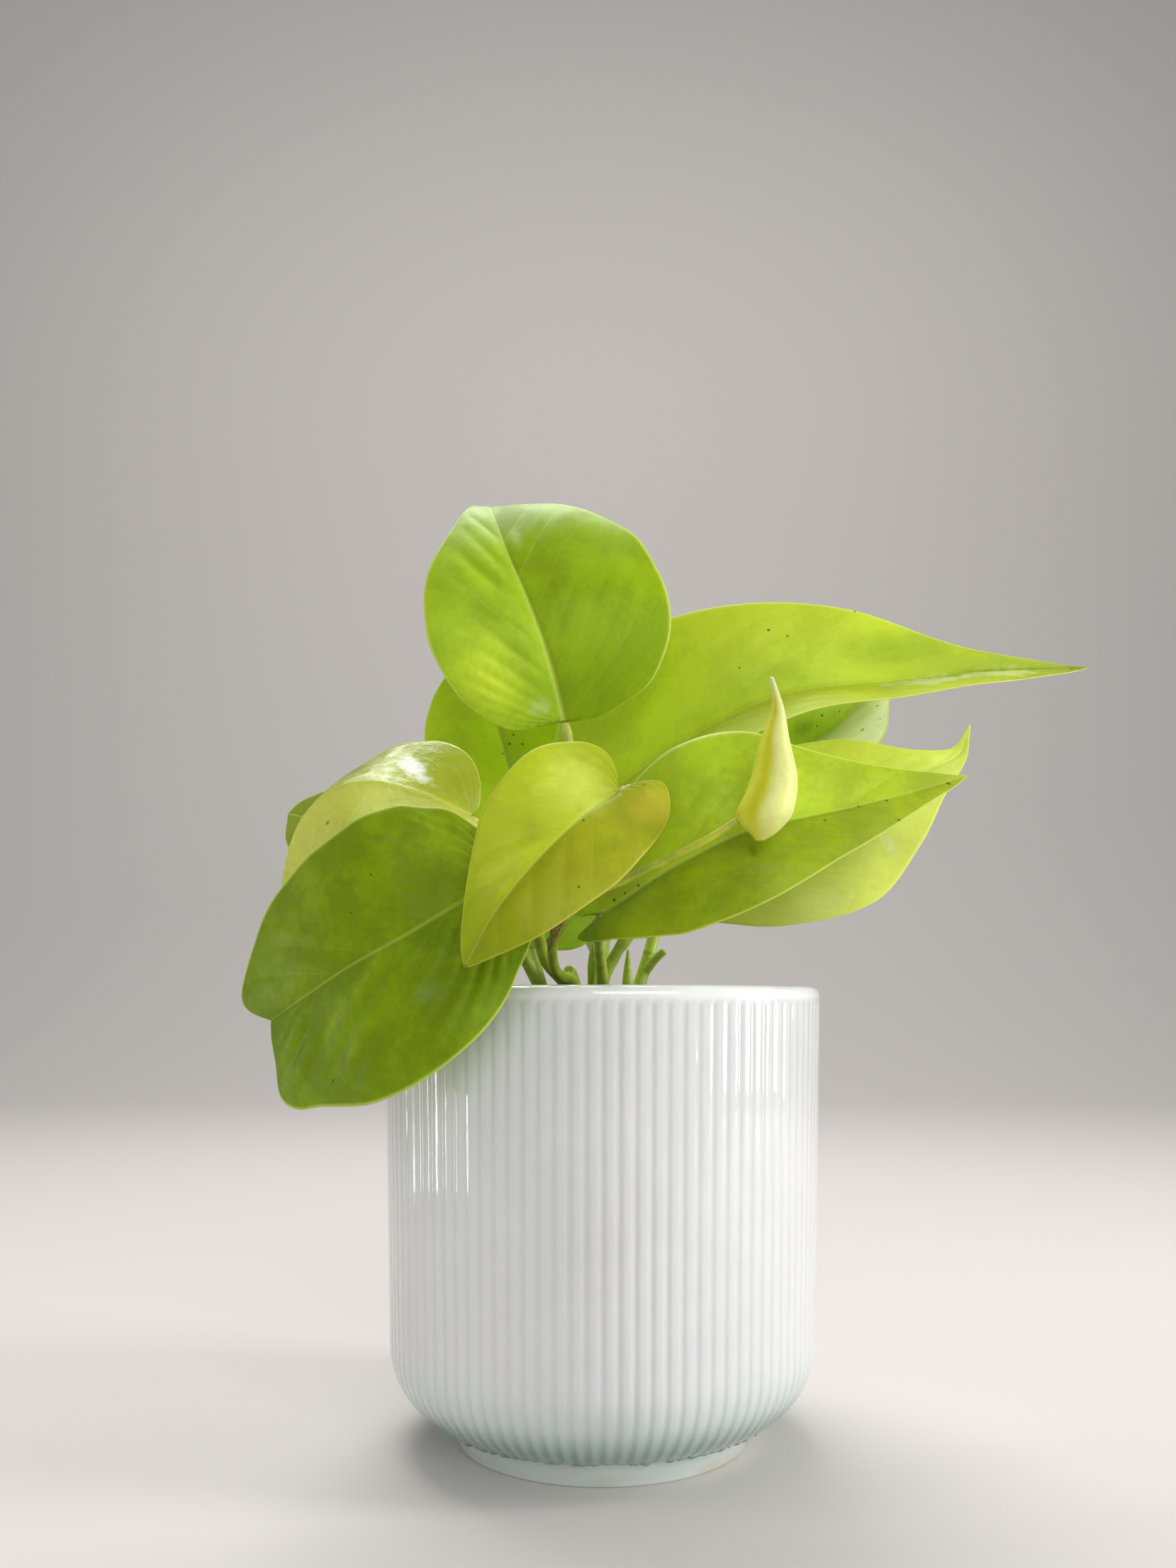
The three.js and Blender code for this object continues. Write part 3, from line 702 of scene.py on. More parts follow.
@dataclass(frozen=True)
class LeafFinish:
    """Colours and gloss of a blade.

    The halves differ where one is paler, and every blade has faint veins, a thin pale
    margin, a cloudy variation, soft patches and a few dark dots, each dot given as
    (across, along, radius) in millimetres.
    """

    name: str
    left: Colour
    right: Colour
    tip: Colour
    under: Colour
    vein: Colour = (206, 222, 104)
    margin: Colour = (206, 220, 110)
    patches: tuple[Patch, ...] = ()
    dots: tuple[tuple[float, float, float], ...] = ()
    veins: float = 8.0
    line: float = 0.22
    rib: float = 0.6
    speck: float = 0.0
    mottle: float = 0.07
    gloss: float = 0.42
    shine: float = 0.18
    glare: float = 0.0
    blot: Colour = (64, 66, 22)

    def upper_side(self) -> bpy.types.Material:
        """The satin upper side."""
        m = Material(f"{self.name}_upper")
        t = m.tree
        blade, flat = m.map("Blade"), m.map("Flat")
        veins = m.group(Effects.veins(), Blade=blade, Count=self.veins)
        cloud = m.cloud(75.0, 480.0)
        normal = self.grain(m, flat, veins)
        rough = t.ramp(cloud, 0.0, 1.0, self.gloss + 0.06, self.gloss - 0.04)
        if self.glare:
            crinkle = t.noise(m.place, 330.0, 4.0)
            normal = m.bump(crinkle, 0.5, 0.0006, normal)
            rough = t.math("SUBTRACT", rough, t.ramp(crinkle, 0.4, 0.6, 0.0, self.glare))
        m.set(Base_Color=self.colours(m, blade, flat, veins, cloud), Roughness=rough,
              Normal=normal, Specular_IOR_Level=self.shine, **GLOW)
        return m.made

    def colours(self, m: Material, blade: Socket, flat: Socket, veins: bpy.types.Node,
                cloud: Socket) -> Socket:
        """Paints the upper side.

        Args:
            m: its material.
            blade: the share of the way from side to side and from the joint to the point.
            flat: the place on the flat blade.
            veins: the placed group of side veins.
            cloud: the cloudy variation.

        Returns:
            The colour, from the plain halves up to the dots.
        """
        t = m.tree
        across, along = t.part(flat, 0), t.part(blade, 1)
        body = t.layers(self.left, (t.ramp(across, -0.0005, 0.0005), self.right),
                        (t.ramp(along, 0.6, 1.0, 0.0, 0.8), self.tip))
        for patch in self.patches:
            body = patch.paint(m, flat, body)
        shade = t.times(t.ramp(cloud, 0.0, 1.0, 1.0 - self.mottle, 0.98 + self.mottle),
                        t.ramp(veins.outputs["Grain"], 0.25, 0.75, 0.975, 1.025))
        rib = t.math("POWER", self.midrib(t, across, along, 0.0011, 0.0003), 0.7)
        margin = t.ramp(t.from_half(t.part(blade, 0)), 0.97, 1.0, 0.0, 0.6)
        body = t.layers(t.shade(body, shade),
                        (t.times(veins.outputs["Line"], self.line), self.vein),
                        (t.times(rib, self.rib), self.vein), (margin, self.margin))
        return self.dot(m, flat, body)

    @staticmethod
    def midrib(t: Tree, across: Socket, along: Socket, base: float, point: float) -> Socket:
        """Marks the midrib.

        Args:
            t: the material's tree.
            across: the distance from it.
            along: the share of the way from the joint to the point.
            base: its half width at the joint.
            point: its half width at the point.

        Returns:
            1 on the midrib, falling to 0 beside it.
        """
        width = t.ramp(along, 0.0, 1.0, base, point)
        near = t.math("DIVIDE", t.math("ABSOLUTE", across), width)
        return t.math("SUBTRACT", 1.0, near, clamp=True)

    @staticmethod
    def grain(m: Material, flat: Socket, veins: bpy.types.Node) -> Socket:
        """Fine relief of the upper side.

        Args:
            m: its material.
            flat: the place on the flat blade.
            veins: the placed group of side veins.

        Returns:
            The normal, bent by cells, grain and sunken veins.
        """
        t = m.tree
        net = t.add("ShaderNodeTexVoronoi", {"feature": "DISTANCE_TO_EDGE"}, Vector=flat,
                    Scale=620.0).outputs[0]
        normal = m.bump(t.ramp(net, 0.0, 0.12), 0.12, 0.00006)
        normal = m.bump(t.noise(flat, 2600.0, 3.0), 0.16, 0.00005, normal)
        normal = m.bump(veins.outputs["Grain"], 0.16, 0.00025, normal)
        return m.bump(veins.outputs["Line"], 0.3, -0.00012, normal)

    def dot(self, m: Material, flat: Socket, body: Socket) -> Socket:
        """Adds the dark dots, both the strewn ones and the placed ones.

        Args:
            m: the blade's material.
            flat: the place on the flat blade.
            body: the colour below.

        Returns:
            The colour with the dots on it.
        """
        t = m.tree
        if self.speck:
            body = t.blend(t.times(m.spots(190.0, 0.16, self.speck), 0.7), body, self.blot)
        for across, along, radius in self.dots:
            apart = t.vector("DISTANCE", flat, (across * MM, along * MM, 0.0))
            near = t.ramp(apart, radius * MM * 0.5, radius * MM, 0.8, 0.0)
            body = t.blend(near, body, self.blot)
        return body

    def under_side(self) -> bpy.types.Material:
        """The paler, duller underside with its raised midrib."""
        m = Material(f"{self.name}_under")
        t = m.tree
        blade, flat = m.map("Blade"), m.map("Flat")
        veins = m.group(Effects.veins(), Blade=blade, Count=self.veins)
        rib = self.midrib(t, t.part(flat, 0), t.part(blade, 1), 0.0014, 0.0005)
        deep = (*(0.78 * channel for channel in linear(self.under)), 1.0)
        body = t.layers(deep, (m.cloud(70.0, 420.0), self.under),
                        (t.times(veins.outputs["Line"], 0.5), self.vein),
                        (t.times(rib, 0.8), self.vein))
        normal = m.bump(t.noise(flat, 2200.0, 3.0), 0.2, 0.00005)
        normal = m.bump(veins.outputs["Line"], 0.4, 0.00015, normal)
        m.set(Base_Color=body, Normal=normal, Roughness=0.5, Specular_IOR_Level=0.2, **GLOW)
        return m.made


@dataclass(frozen=True)
class StemFinish:
    """Smooth green stems, paler towards the top and browner at the soil."""

    name: str
    low: Colour
    high: Colour
    blush: Colour = (150, 118, 52)
    earth: Colour = (96, 78, 40)
    greening: Pair = (0.125, 0.185)
    soiled: Pair = (0.119, 0.126)

    def material(self) -> bpy.types.Material:
        """The stems' one material."""
        m = Material(self.name)
        t = m.tree
        height = t.part(m.place, 2)
        cloud = m.cloud(110.0, 600.0)
        shade = t.ramp(cloud, 0.0, 1.0, 0.8, 1.16)
        grey = t.add("ShaderNodeCombineColor", Red=shade, Green=shade, Blue=shade).outputs[0]
        body = t.blend(t.ramp(height, *self.greening), self.low, self.high)
        body = t.layers(t.blend(1.0, body, grey, "MULTIPLY"),
                        (t.times(m.spots(260.0, 0.3, 0.16), 0.45), self.blush),
                        (t.ramp(height, *self.soiled, 0.7, 0.0), self.earth))
        m.set(Base_Color=body, Roughness=t.ramp(cloud, 0.0, 1.0, 0.46, 0.36),
              Normal=m.bump(t.noise(m.upright(0.12), 1500.0, 3.0), 0.16, 0.0001),
              Specular_IOR_Level=0.4)
        return m.made


@dataclass(frozen=True)
class RolledFinish:
    """The pale new leaf: cream outside and yellow where it goes in under its own edge, with a
    yellow-olive strip of painted shade beside that edge and a painted highlight on its right side.
    """

    name: str
    light: Colour
    yellow: Colour
    # Painted shade: laid in a strip beside the roll's edge.
    deep: Colour
    # Laid as a painted highlight on the right side, and also on the tip.
    edge: Colour

    def material(self) -> bpy.types.Material:
        """The rolled leaf's one material, painted by the turn round the roll."""
        m = Material(self.name)
        t = m.tree
        roll = m.map("Roll")
        turn, rise = t.part(roll, 0), t.part(roll, 1)
        cloud = m.cloud(120.0, 700.0)
        painted_shade_strip = t.times(t.ramp(turn, 0.06, 0.125), t.ramp(turn, 0.2, 0.135))
        ends = t.times(t.ramp(rise, 1.0, 0.8), t.ramp(rise, 0.04, 0.2))
        # The coat of deep in the strip is painted shade beside the roll's edge, and the first coat
        # of edge is a painted highlight on the right side.
        body = t.layers(self.light, (t.ramp(turn, 0.225, 0.13), self.yellow),
                        (t.times(painted_shade_strip, ends), self.deep),
                        (t.ramp(turn, 0.36, 0.46, 0.0, 0.8), self.edge),
                        (t.ramp(turn, 0.55, 0.9, 0.0, 1.0), self.yellow),
                        (t.ramp(rise, 0.86, 1.0, 0.0, 0.7), self.edge),
                        (t.ramp(rise, 0.2, 0.02, 0.0, 0.5), self.yellow))
        m.set(Base_Color=t.shade(body, t.ramp(cloud, 0.0, 1.0, 0.93, 1.05)),
              Roughness=t.ramp(cloud, 0.0, 1.0, 0.46, 0.38),
              Normal=m.bump(t.noise(m.upright(0.1), 1700.0, 3.0), 0.18, 0.0001),
              Specular_IOR_Level=0.35, Subsurface_Weight=0.3, Subsurface_Scale=0.0015,
              Subsurface_Radius=(0.8, 1.0, 0.4))
        return m.made


@dataclass(frozen=True)
class DryFinish:
    """Dead papery plant skin, streaked along its length."""

    name: str
    dark: Colour
    light: Colour

    def material(self) -> bpy.types.Material:
        """The dry skin's one material."""
        m = Material(self.name)
        t = m.tree
        streak = t.noise(m.upright(0.35), 1400.0, 4.0)
        body = t.blend(t.ramp(streak, 0.35, 0.65), self.dark, self.light)
        m.set(Base_Color=body, Roughness=t.ramp(streak, 0.3, 0.7, 0.9, 0.65),
              Normal=m.bump(streak, 0.35, 0.00015))
        return m.made


@dataclass(frozen=True)
class GlazeFinish:
    """White glaze that runs thin on crests and pools blue-green in grooves and at the foot."""

    name: str
    crest: Colour
    groove: Colour
    shoulder: Colour
    pool: Colour
    foot: Colour
    stain: Colour
    # Painted highlight: a paler band along the top of the rim.
    rim: Colour
    speck: Colour = (92, 88, 80)
    rim_highlight_band: Pair = (0.1305, 0.1322)
    shoulder_fade: Pair = (0.036, 0.01)
    pool_fade: Pair = (0.0225, 0.009)
    foot_line: Pair = (0.0085, 0.0078)
    stain_fade: Pair = (0.005, 0.0005)

    def material(self) -> bpy.types.Material:
        """The pot's one material."""
        m = Material(self.name)
        t = m.tree
        coat = m.map("Coat")
        height = t.part(m.place, 2)
        valley, pooled = t.part(coat, 0), t.part(coat, 1)
        cloud = m.cloud(34.0, 170.0)
        low = t.times(t.ramp(height, *self.shoulder_fade, 0.0, 0.9),
                      t.ramp(valley, 0.0, 1.0, 0.7, 1.15))
        lowest = t.times(t.ramp(height, *self.pool_fade), t.ramp(valley, 0.0, 0.6, 0.55, 0.85))
        smear = t.times(t.ramp(height, *self.stain_fade),
                        t.ramp(t.noise(m.place, 38.0, 3.0), 0.46, 0.62, 0.1, 0.6))
        runs = t.ramp(t.noise(m.place, 150.0, 3.0), 0.3, 0.62, 0.35, 1.0)
        # The rim coat is a painted highlight along the top of the rim.
        body = t.layers(self.crest, (t.ramp(valley, 0.1, 1.0), self.groove),
                        (t.ramp(height, *self.rim_highlight_band), self.rim), (low, self.shoulder),
                        (lowest, self.pool), (t.ramp(height, *self.foot_line), self.foot),
                        (smear, self.stain), (t.times(pooled, runs), self.pool))
        body = t.shade(body, t.ramp(cloud, 0.0, 1.0, 0.97, 1.01))
        body = t.blend(t.times(m.spots(90.0, 0.045, 0.05), 0.8), body, self.speck)
        normal = m.bump(t.noise(m.upright(0.3), 240.0, 2.0), 0.35, 0.0005)
        normal = m.bump(t.noise(m.place, 1100.0, 2.0), 0.04, 0.0001, normal)
        rough = t.math("ADD", t.ramp(cloud, 0.0, 1.0, 0.07, 0.12), t.times(pooled, 0.2))
        m.set(Base_Color=body, Normal=normal, Roughness=rough, Specular_IOR_Level=0.6,
              Coat_Weight=0.6, Coat_Roughness=0.03)
        return m.made


@dataclass(frozen=True)
class SoilFinish:
    """Dark potting soil, or one of the bits in it."""

    name: str
    dark: Colour
    light: Colour
    grain: float = 900.0

    def material(self) -> bpy.types.Material:
        """The one material."""
        m = Material(self.name)
        t = m.tree
        crumb = t.noise(m.place, self.grain, 5.0)
        body = t.blend(t.ramp(crumb, 0.38, 0.66), self.dark, self.light)
        m.set(Base_Color=body, Roughness=t.ramp(crumb, 0.3, 0.7, 0.95, 0.8),
              Normal=m.bump(crumb, 0.7, 0.0006))
        return m.made


# Blades


@dataclass(frozen=True)
class Half:
    """One half of a flat blade and how it is bent.

    The outline runs from the petiole joint round the lobe to the point, each point given
    as (across, along) in millimetres. fold is the half's rise from the midrib in degrees
    at the base and at the point, and curl is its further bend out to the margin.
    """

    outline: Outline
    fold: Pair
    curl: float
    pucker: float = 0.3

    @property
    def reach(self) -> float:
        """The half's widest distance from the midrib."""
        return max(across for across, _ in self.outline) * MM


@dataclass
class Blade:
    """A leaf blade, bent in space along its midrib."""

    name: str
    slot: str
    finish: LeafFinish
    midrib: tuple[Point, ...]
    facing: tuple[Point, Point]
    left: Half
    right: Half
    seed: int = 1
    rows: int = 96
    columns: int = 30
    thickness: float = 0.5 * MM
    edge: float = 0.3 * MM
    groove: float = 0.35 * MM
    rib: float = 0.75 * MM
    groove_reach: float = 0.8 * MM
    rib_reach: float = 1.0 * MM
    wave: float = 0.5 * MM
    sweep: float = 1.6
    spread: float = 0.25
    crowd: float = 1.45

    def __post_init__(self) -> None:
        """Measures the midrib."""
        self.curve = Spline(np.array(self.midrib) * MM)

    def half(self, side: Side) -> Half:
        """The half on that side."""
        return self.left if side is Side.LEFT else self.right

    def frame_at(self, along: Array) -> tuple[Array, ...]:
        """The blade's own axes at distances from the joint.

        Args:
            along: distances in metres, which may run past either end.

        Returns:
            The share of the length, the midrib point, its tangent, the upward
            direction and the one across to the right.
        """
        share = np.clip(along / self.curve.length, 0, 1)
        point, tangent = self.curve.at(share)
        point = point + tangent * (along - share * self.curve.length)[:, None]
        base, tip = (np.array(f, dtype=float) for f in self.facing)
        up = base + (tip - base) * share[:, None]
        up = unit(up - tangent * np.sum(up * tangent, axis=1, keepdims=True))
        return share, point, tangent, up, np.cross(tangent, up)

    def bend(self, side: Side, across: Array, along: Array) -> Array:
        """Bends flat points into space.

        Args:
            side: the half that they lie on.
            across: distances from the midrib.
            along: distances from the joint.

        Returns:
            The points, one a row.
        """
        half = self.half(side)
        share, point, _, up, right = self.frame_at(along)
        fold = np.radians(half.fold[0] + (half.fold[1] - half.fold[0]) * share)
        rate = math.radians(half.curl) / half.reach
        if abs(rate) < 1e-6:
            reach, rise = np.cos(fold) * across, np.sin(fold) * across
        else:
            turned = fold + rate * across
            reach = (np.sin(turned) - np.sin(fold)) / rate
            rise = (np.cos(fold) - np.cos(turned)) / rate
        return point + right * (side.sign * reach)[:, None] + up * rise[:, None]

    def flat_half(self, side: Side) -> tuple[Array, Array, Array, Array]:
        """Lays out one half as a grid from the midrib to the margin.

        Args:
            side: the half.

        Returns:
            across, along, the share of the way out and the share of the way up, each
            with a row for each vein and a column for each step out.
        """
        half = self.half(side)
        length = self.curve.length
        outline = np.array([(0, 0), *half.outline, (0, length / MM)]) * MM
        flat = np.column_stack([outline, np.zeros(len(outline))])
        rise = np.linspace(0, 1, self.rows + 1)[1:-1]
        margin, _ = Spline(flat).at(rise)
        out = np.linspace(0, 1, self.columns + 1) ** self.crowd
        root = length * np.maximum(rise ** self.sweep, self.spread * rise)
        across = np.maximum(margin[:, :1], 0) * out
        along = root[:, None] * (1 - out) + margin[:, 1:2] * out
        return across, along, np.broadcast_to(out, across.shape), np.broadcast_to(
            rise[:, None], across.shape)

    def relief(self, side: Side, across: Array, along: Array, out: Array, rise: Array) -> Array:
        """Works out the quilting between side veins and the slow waves.

        Args:
            side: the half that the points lie on.
            across: distances from the midrib.
            along: distances from the joint.
            out: shares of the way out to the margin.
            rise: shares of the way up to the point.

        Returns:
            The height of each point over the smooth blade.
        """
        half = self.half(side)
        flat = np.stack([side.sign * across, along], axis=-1)
        slow = Waves(self.seed, 42 * MM).at(flat)
        patch = Waves(self.seed + 7, 26 * MM).at(flat)
        phase = (rise * (1 + VEIN_SWEEP * out) - VEIN_SWEEP * out) * self.finish.veins
        pillow = np.abs(np.sin(math.pi * phase)) ** 0.8
        strength = half.pucker * MM * (0.55 + 0.75 * patch)
        envelope = smooth(0.0, 0.22, out) * smooth(1.0, 0.72, out) * smooth(1.0, 0.8, rise)
        root = smooth(0.0, 0.25, out)
        return pillow * strength * envelope + self.wave * slow * root * smooth(1.0, 0.85, rise)

    def build(self) -> Object:
        """Makes the blade.

        Returns:
            A closed mesh with an upper side, an underside and a rounded margin.
        """
        halves = []
        for side in (Side.LEFT, Side.RIGHT):
            across, along, out, rise = self.flat_half(side)
            points = self.bend(side, across.ravel(), along.ravel()).reshape(*across.shape, 3)
            flat = np.stack([side.sign * across, along], axis=-1)
            blade = np.stack([0.5 + 0.5 * side.sign * out, rise], axis=-1)
            relief = self.relief(side, across, along, out, rise)[..., None]
            order = slice(None, 0, -1) if side is Side.LEFT else slice(None)
            halves.append([part[:, order] for part in (points, flat, blade, relief)])
        points, flat, blade, relief = (np.concatenate(pair, axis=1) for pair in zip(*halves))
        points = points + self._normals(points) * relief
        return self._close(points, self._normals(points), flat, blade)

    def _normals(self, points: Array) -> Array:
        """Upward normals of a grid of points."""
        across = np.gradient(points, axis=1)
        along = np.gradient(points, axis=0)
        return unit(np.cross(across, along))

    def _close(self, points: Array, normal: Array, flat: Array, blade: Array) -> Object:
        """Gives the middle surface its two sides and joins them.

        Args:
            points: the middle surface's grid.
            normal: its upward normals.
            flat: the place of each point on the flat blade.
            blade: its share of the way from side to side and from joint to point.

        Returns:
            The finished blade.
        """
        rows, columns = points.shape[:2]
        across, along = np.abs(flat[..., 0]), flat[..., 1] / self.curve.length
        out = np.abs(2 * blade[..., 0] - 1)
        half = (self.thickness + (self.edge - self.thickness) * out ** 2) / 2
        taper = smooth(1.02, 0.2, along)
        groove = self.groove * taper * np.exp(-(across / self.groove_reach) ** 2)
        rib = self.rib * taper * np.exp(-(across / self.rib_reach) ** 2)
        upper = points + normal * (half - groove)[..., None]
        under = points - normal * (half + rib)[..., None]
        surface = Surface()
        top = surface.add(upper, Flat=flat, Blade=blade)
        bottom = surface.add(under, Flat=flat, Blade=blade)
        surface.face(grid_faces(top, rows, columns), 0)
        surface.face(grid_faces(bottom, rows, columns)[:, ::-1], 1)
        self._margin(surface, points, flat, blade, top, bottom)
        return surface.build(f"{self.name}_blade", [
            self.finish.upper_side(), self.finish.under_side()])

    def _margin(self, surface: Surface, points: Array, flat: Array, blade: Array, top: int,
                bottom: int) -> None:
        """Adds the base, the point and a thin rounded edge all round.

        Args:
            surface: the blade in the making, with its two sides.
            points: the middle surface's grid.
            flat: the place of each point on the flat blade.
            blade: its share of the way from side to side and from joint to point.
            top: number of the upper side's first point.
            bottom: number of the underside's first point.
        """
        rows, columns = points.shape[:2]
        length = self.curve.length
        ends, _ = self.curve.at(np.array([0.0, 1.0]))
        ring_index = np.concatenate([
            np.arange(rows) * columns + columns - 1,
            np.arange(rows)[::-1] * columns])
        edge = points.reshape(-1, 3)[ring_index]
        neighbour = points.reshape(-1, 3)[np.concatenate([
            np.arange(rows) * columns + columns - 2,
            np.arange(rows)[::-1] * columns + 1])]
        outward = unit(edge - neighbour) * self.edge / 2
        rim = surface.add(edge + outward, Flat=flat.reshape(-1, 2)[ring_index],
                          Blade=blade.reshape(-1, 2)[ring_index])
        count = len(ring_index)
        ring = np.arange(count)
        base = surface.add(ends[:1], Flat=np.zeros((1, 2)), Blade=np.array([[0.5, 0.0]]))
        beyond = unit(ends[1:] - points[-1].mean(axis=0)) * self.edge / 2
        point = surface.add(ends[1:] + beyond,
                            Flat=np.array([[0.0, length]]), Blade=np.array([[0.5, 1.0]]))
        for side, start in ((0, top), (1, bottom)):
            walls = np.delete(band(start + ring_index, rim + ring), rows - 1, axis=0)
            first, last = np.arange(columns), (rows - 1) * columns + np.arange(columns)
            base_fan = np.stack([np.full(columns - 1, base), start + first[1:],
                                 start + first[:-1]], axis=-1)
            tip_fan = np.stack([np.full(columns - 1, point), start + last[:-1],
                                start + last[1:]], axis=-1)
            corners = np.array([
                [base, rim, start + columns - 1], [base, start, rim + count - 1],
                [point, start + rows * columns - 1, rim + rows - 1],
                [point, rim + rows, start + (rows - 1) * columns]])
            for faces in (walls, base_fan, tip_fan, corners):
                surface.face(faces if side == 0 else faces[:, ::-1], side)

    def make(self) -> None:
        """Builds the blade in the place of its plain solid."""
        dress(self.build(), self.slot, self.name)


# Limbs


@dataclass(frozen=True)
class Limb:
    """A tapering round limb along a path in millimetres, with its radii at even steps."""

    path: tuple[Point, ...]
    radii: tuple[float, ...]
    blade: str = ""


class Tubes(Recipe):
    """Geometry Nodes that sweep a round section along lines whose points hold a radius."""

    RADIUS = "limb_radius"

    def __init__(self, sides: int = 20) -> None:
        """Builds the tree.

        Args:
            sides: how many sides the round section has.
        """
        super().__init__("sweep_limbs", Sides="Int")
        self.sides = sides
        radius = self.add("GeometryNodeInputNamedAttribute", {"data_type": "FLOAT"},
                          Name=self.RADIUS).outputs[0]
        line = self.add("GeometryNodeMeshToCurve", Mesh=self.given["Geometry"])
        sized = self.add("GeometryNodeSetCurveRadius", Curve=line.outputs[0], Radius=radius)
        section = self.add("GeometryNodeCurvePrimitiveCircle", {"mode": "RADIUS"},
                           Resolution=self.given["Sides"], Radius=1.0)
        swept = self.add("GeometryNodeCurveToMesh", Curve=sized.outputs[0],
                         Profile_Curve=section.outputs[0], Fill_Caps=True)
        if "Scale" in swept.inputs:
            self.feed(swept.inputs["Scale"], radius)
        self.finish(swept.outputs[0])

    def sweep(self, name: str, lines: list[tuple[Array, Array]],
              material: bpy.types.Material) -> Object:
        """Sweeps limbs into one object.

        Args:
            name: the object's name.
            lines: the points and the radii of each limb.
            material: the finish of all of them.

        Returns:
            A plain mesh object of closed tubes.
        """
        mesh = bpy.data.meshes.new(name)
        points = np.concatenate([p for p, _ in lines])
        edges, start = [], 0
        for path, _ in lines:
            edges += [(start + i, start + i + 1) for i in range(len(path) - 1)]
            start += len(path)
        mesh.from_pydata(points.tolist(), edges, [])
        radius = mesh.attributes.new(self.RADIUS, "FLOAT", "POINT")
        radius.data.foreach_set("value", np.concatenate([r for _, r in lines]).astype(np.float32))
        return self.apply(into_scene(name, mesh), Sides=self.sides, Material=material)


def fuse(made: Object, voxel: float, rounds: int) -> Object:
    """Melts crossing closed tubes into one skin.

    Args:
        made: the object to melt.
        voxel: size of the skin's faces.
        rounds: how often the skin is smoothed after that.

    Returns:
        The same object with its new mesh.
    """
    material = made.data.materials[0]
    remesh = made.modifiers.new("Melt", "REMESH")
    remesh.mode = "VOXEL"
    remesh.voxel_size = voxel
    remesh.use_smooth_shade = True
    soft = made.modifiers.new("Soften", "SMOOTH")
    soft.factor = 0.5
    soft.iterations = rounds
    plain(made)
    made.data.materials.clear()
    made.data.materials.append(material)
    made.data.shade_smooth()
    return made


@dataclass
class Vine:
    """A rooted stem with the petioles that grow from it."""

    name: str
    limbs: tuple[Limb, ...]
    finish: StemFinish
    blades: dict[str, Blade]
    voxel: float = 0.36 * MM
    spacing: float = 1.0 * MM
    joint_sink: float = 0.2 * MM
    joint_radius: float = 1.25 * MM
    smoothing: int = 4
    knee: float = 0.28
    knee_place: float = 6.5 * MM
    knee_reach: float = 3.2 * MM
    approach: Pair = (5 * MM, 1.2 * MM)

    def joint(self, name: str) -> Array:
        """Finds the last points of a petiole, which runs up into its blade's midrib.

        Args:
            name: the blade that it carries.

        Returns:
            Three points, one a row.
        """
        _, point, tangent, up, _ = self.blades[name].frame_at(np.array([0.0]))
        end = point - up * self.joint_sink - up * self.joint_radius
        before = end - tangent * self.approach[0] - up * self.approach[1]
        beyond = point + tangent * 3 * MM - up * self.joint_radius * 0.8
        return np.concatenate([before, end, beyond])

    def line(self, limb: Limb) -> tuple[Array, Array]:
        """Lays out a limb, with a soft swelling just below a blade.

        Args:
            limb: the limb.

        Returns:
            Its points at even steps, and the radius at each.
        """
        points = np.array(limb.path) * MM
        radii = np.array(limb.radii) * MM
        if limb.blade:
            points = np.concatenate([points, self.joint(limb.blade)])
            radii = np.concatenate([radii, [self.joint_radius * 0.72]])
        curve = Spline(points)
        count = max(int(curve.length / self.spacing), 8)
        share = np.linspace(0, 1, count)
        path, _ = curve.at(share)
        radius = np.interp(share, np.linspace(0, 1, len(radii)), radii)
        if limb.blade:
            left = (1 - share) * curve.length
            apart = (left - self.knee_place) / self.knee_reach
            radius = radius * (1 + self.knee * np.exp(-apart ** 2))
        return path, radius

    def make(self, tubes: Tubes) -> None:
        """Builds the vine in the place of its plain solid."""
        lines = [self.line(limb) for limb in self.limbs]
        made = tubes.sweep(f"{self.name}_stems", lines, self.finish.material())
        dress(fuse(made, self.voxel, self.smoothing), "stem", self.name)


# The rolled leaf and the dead sheath


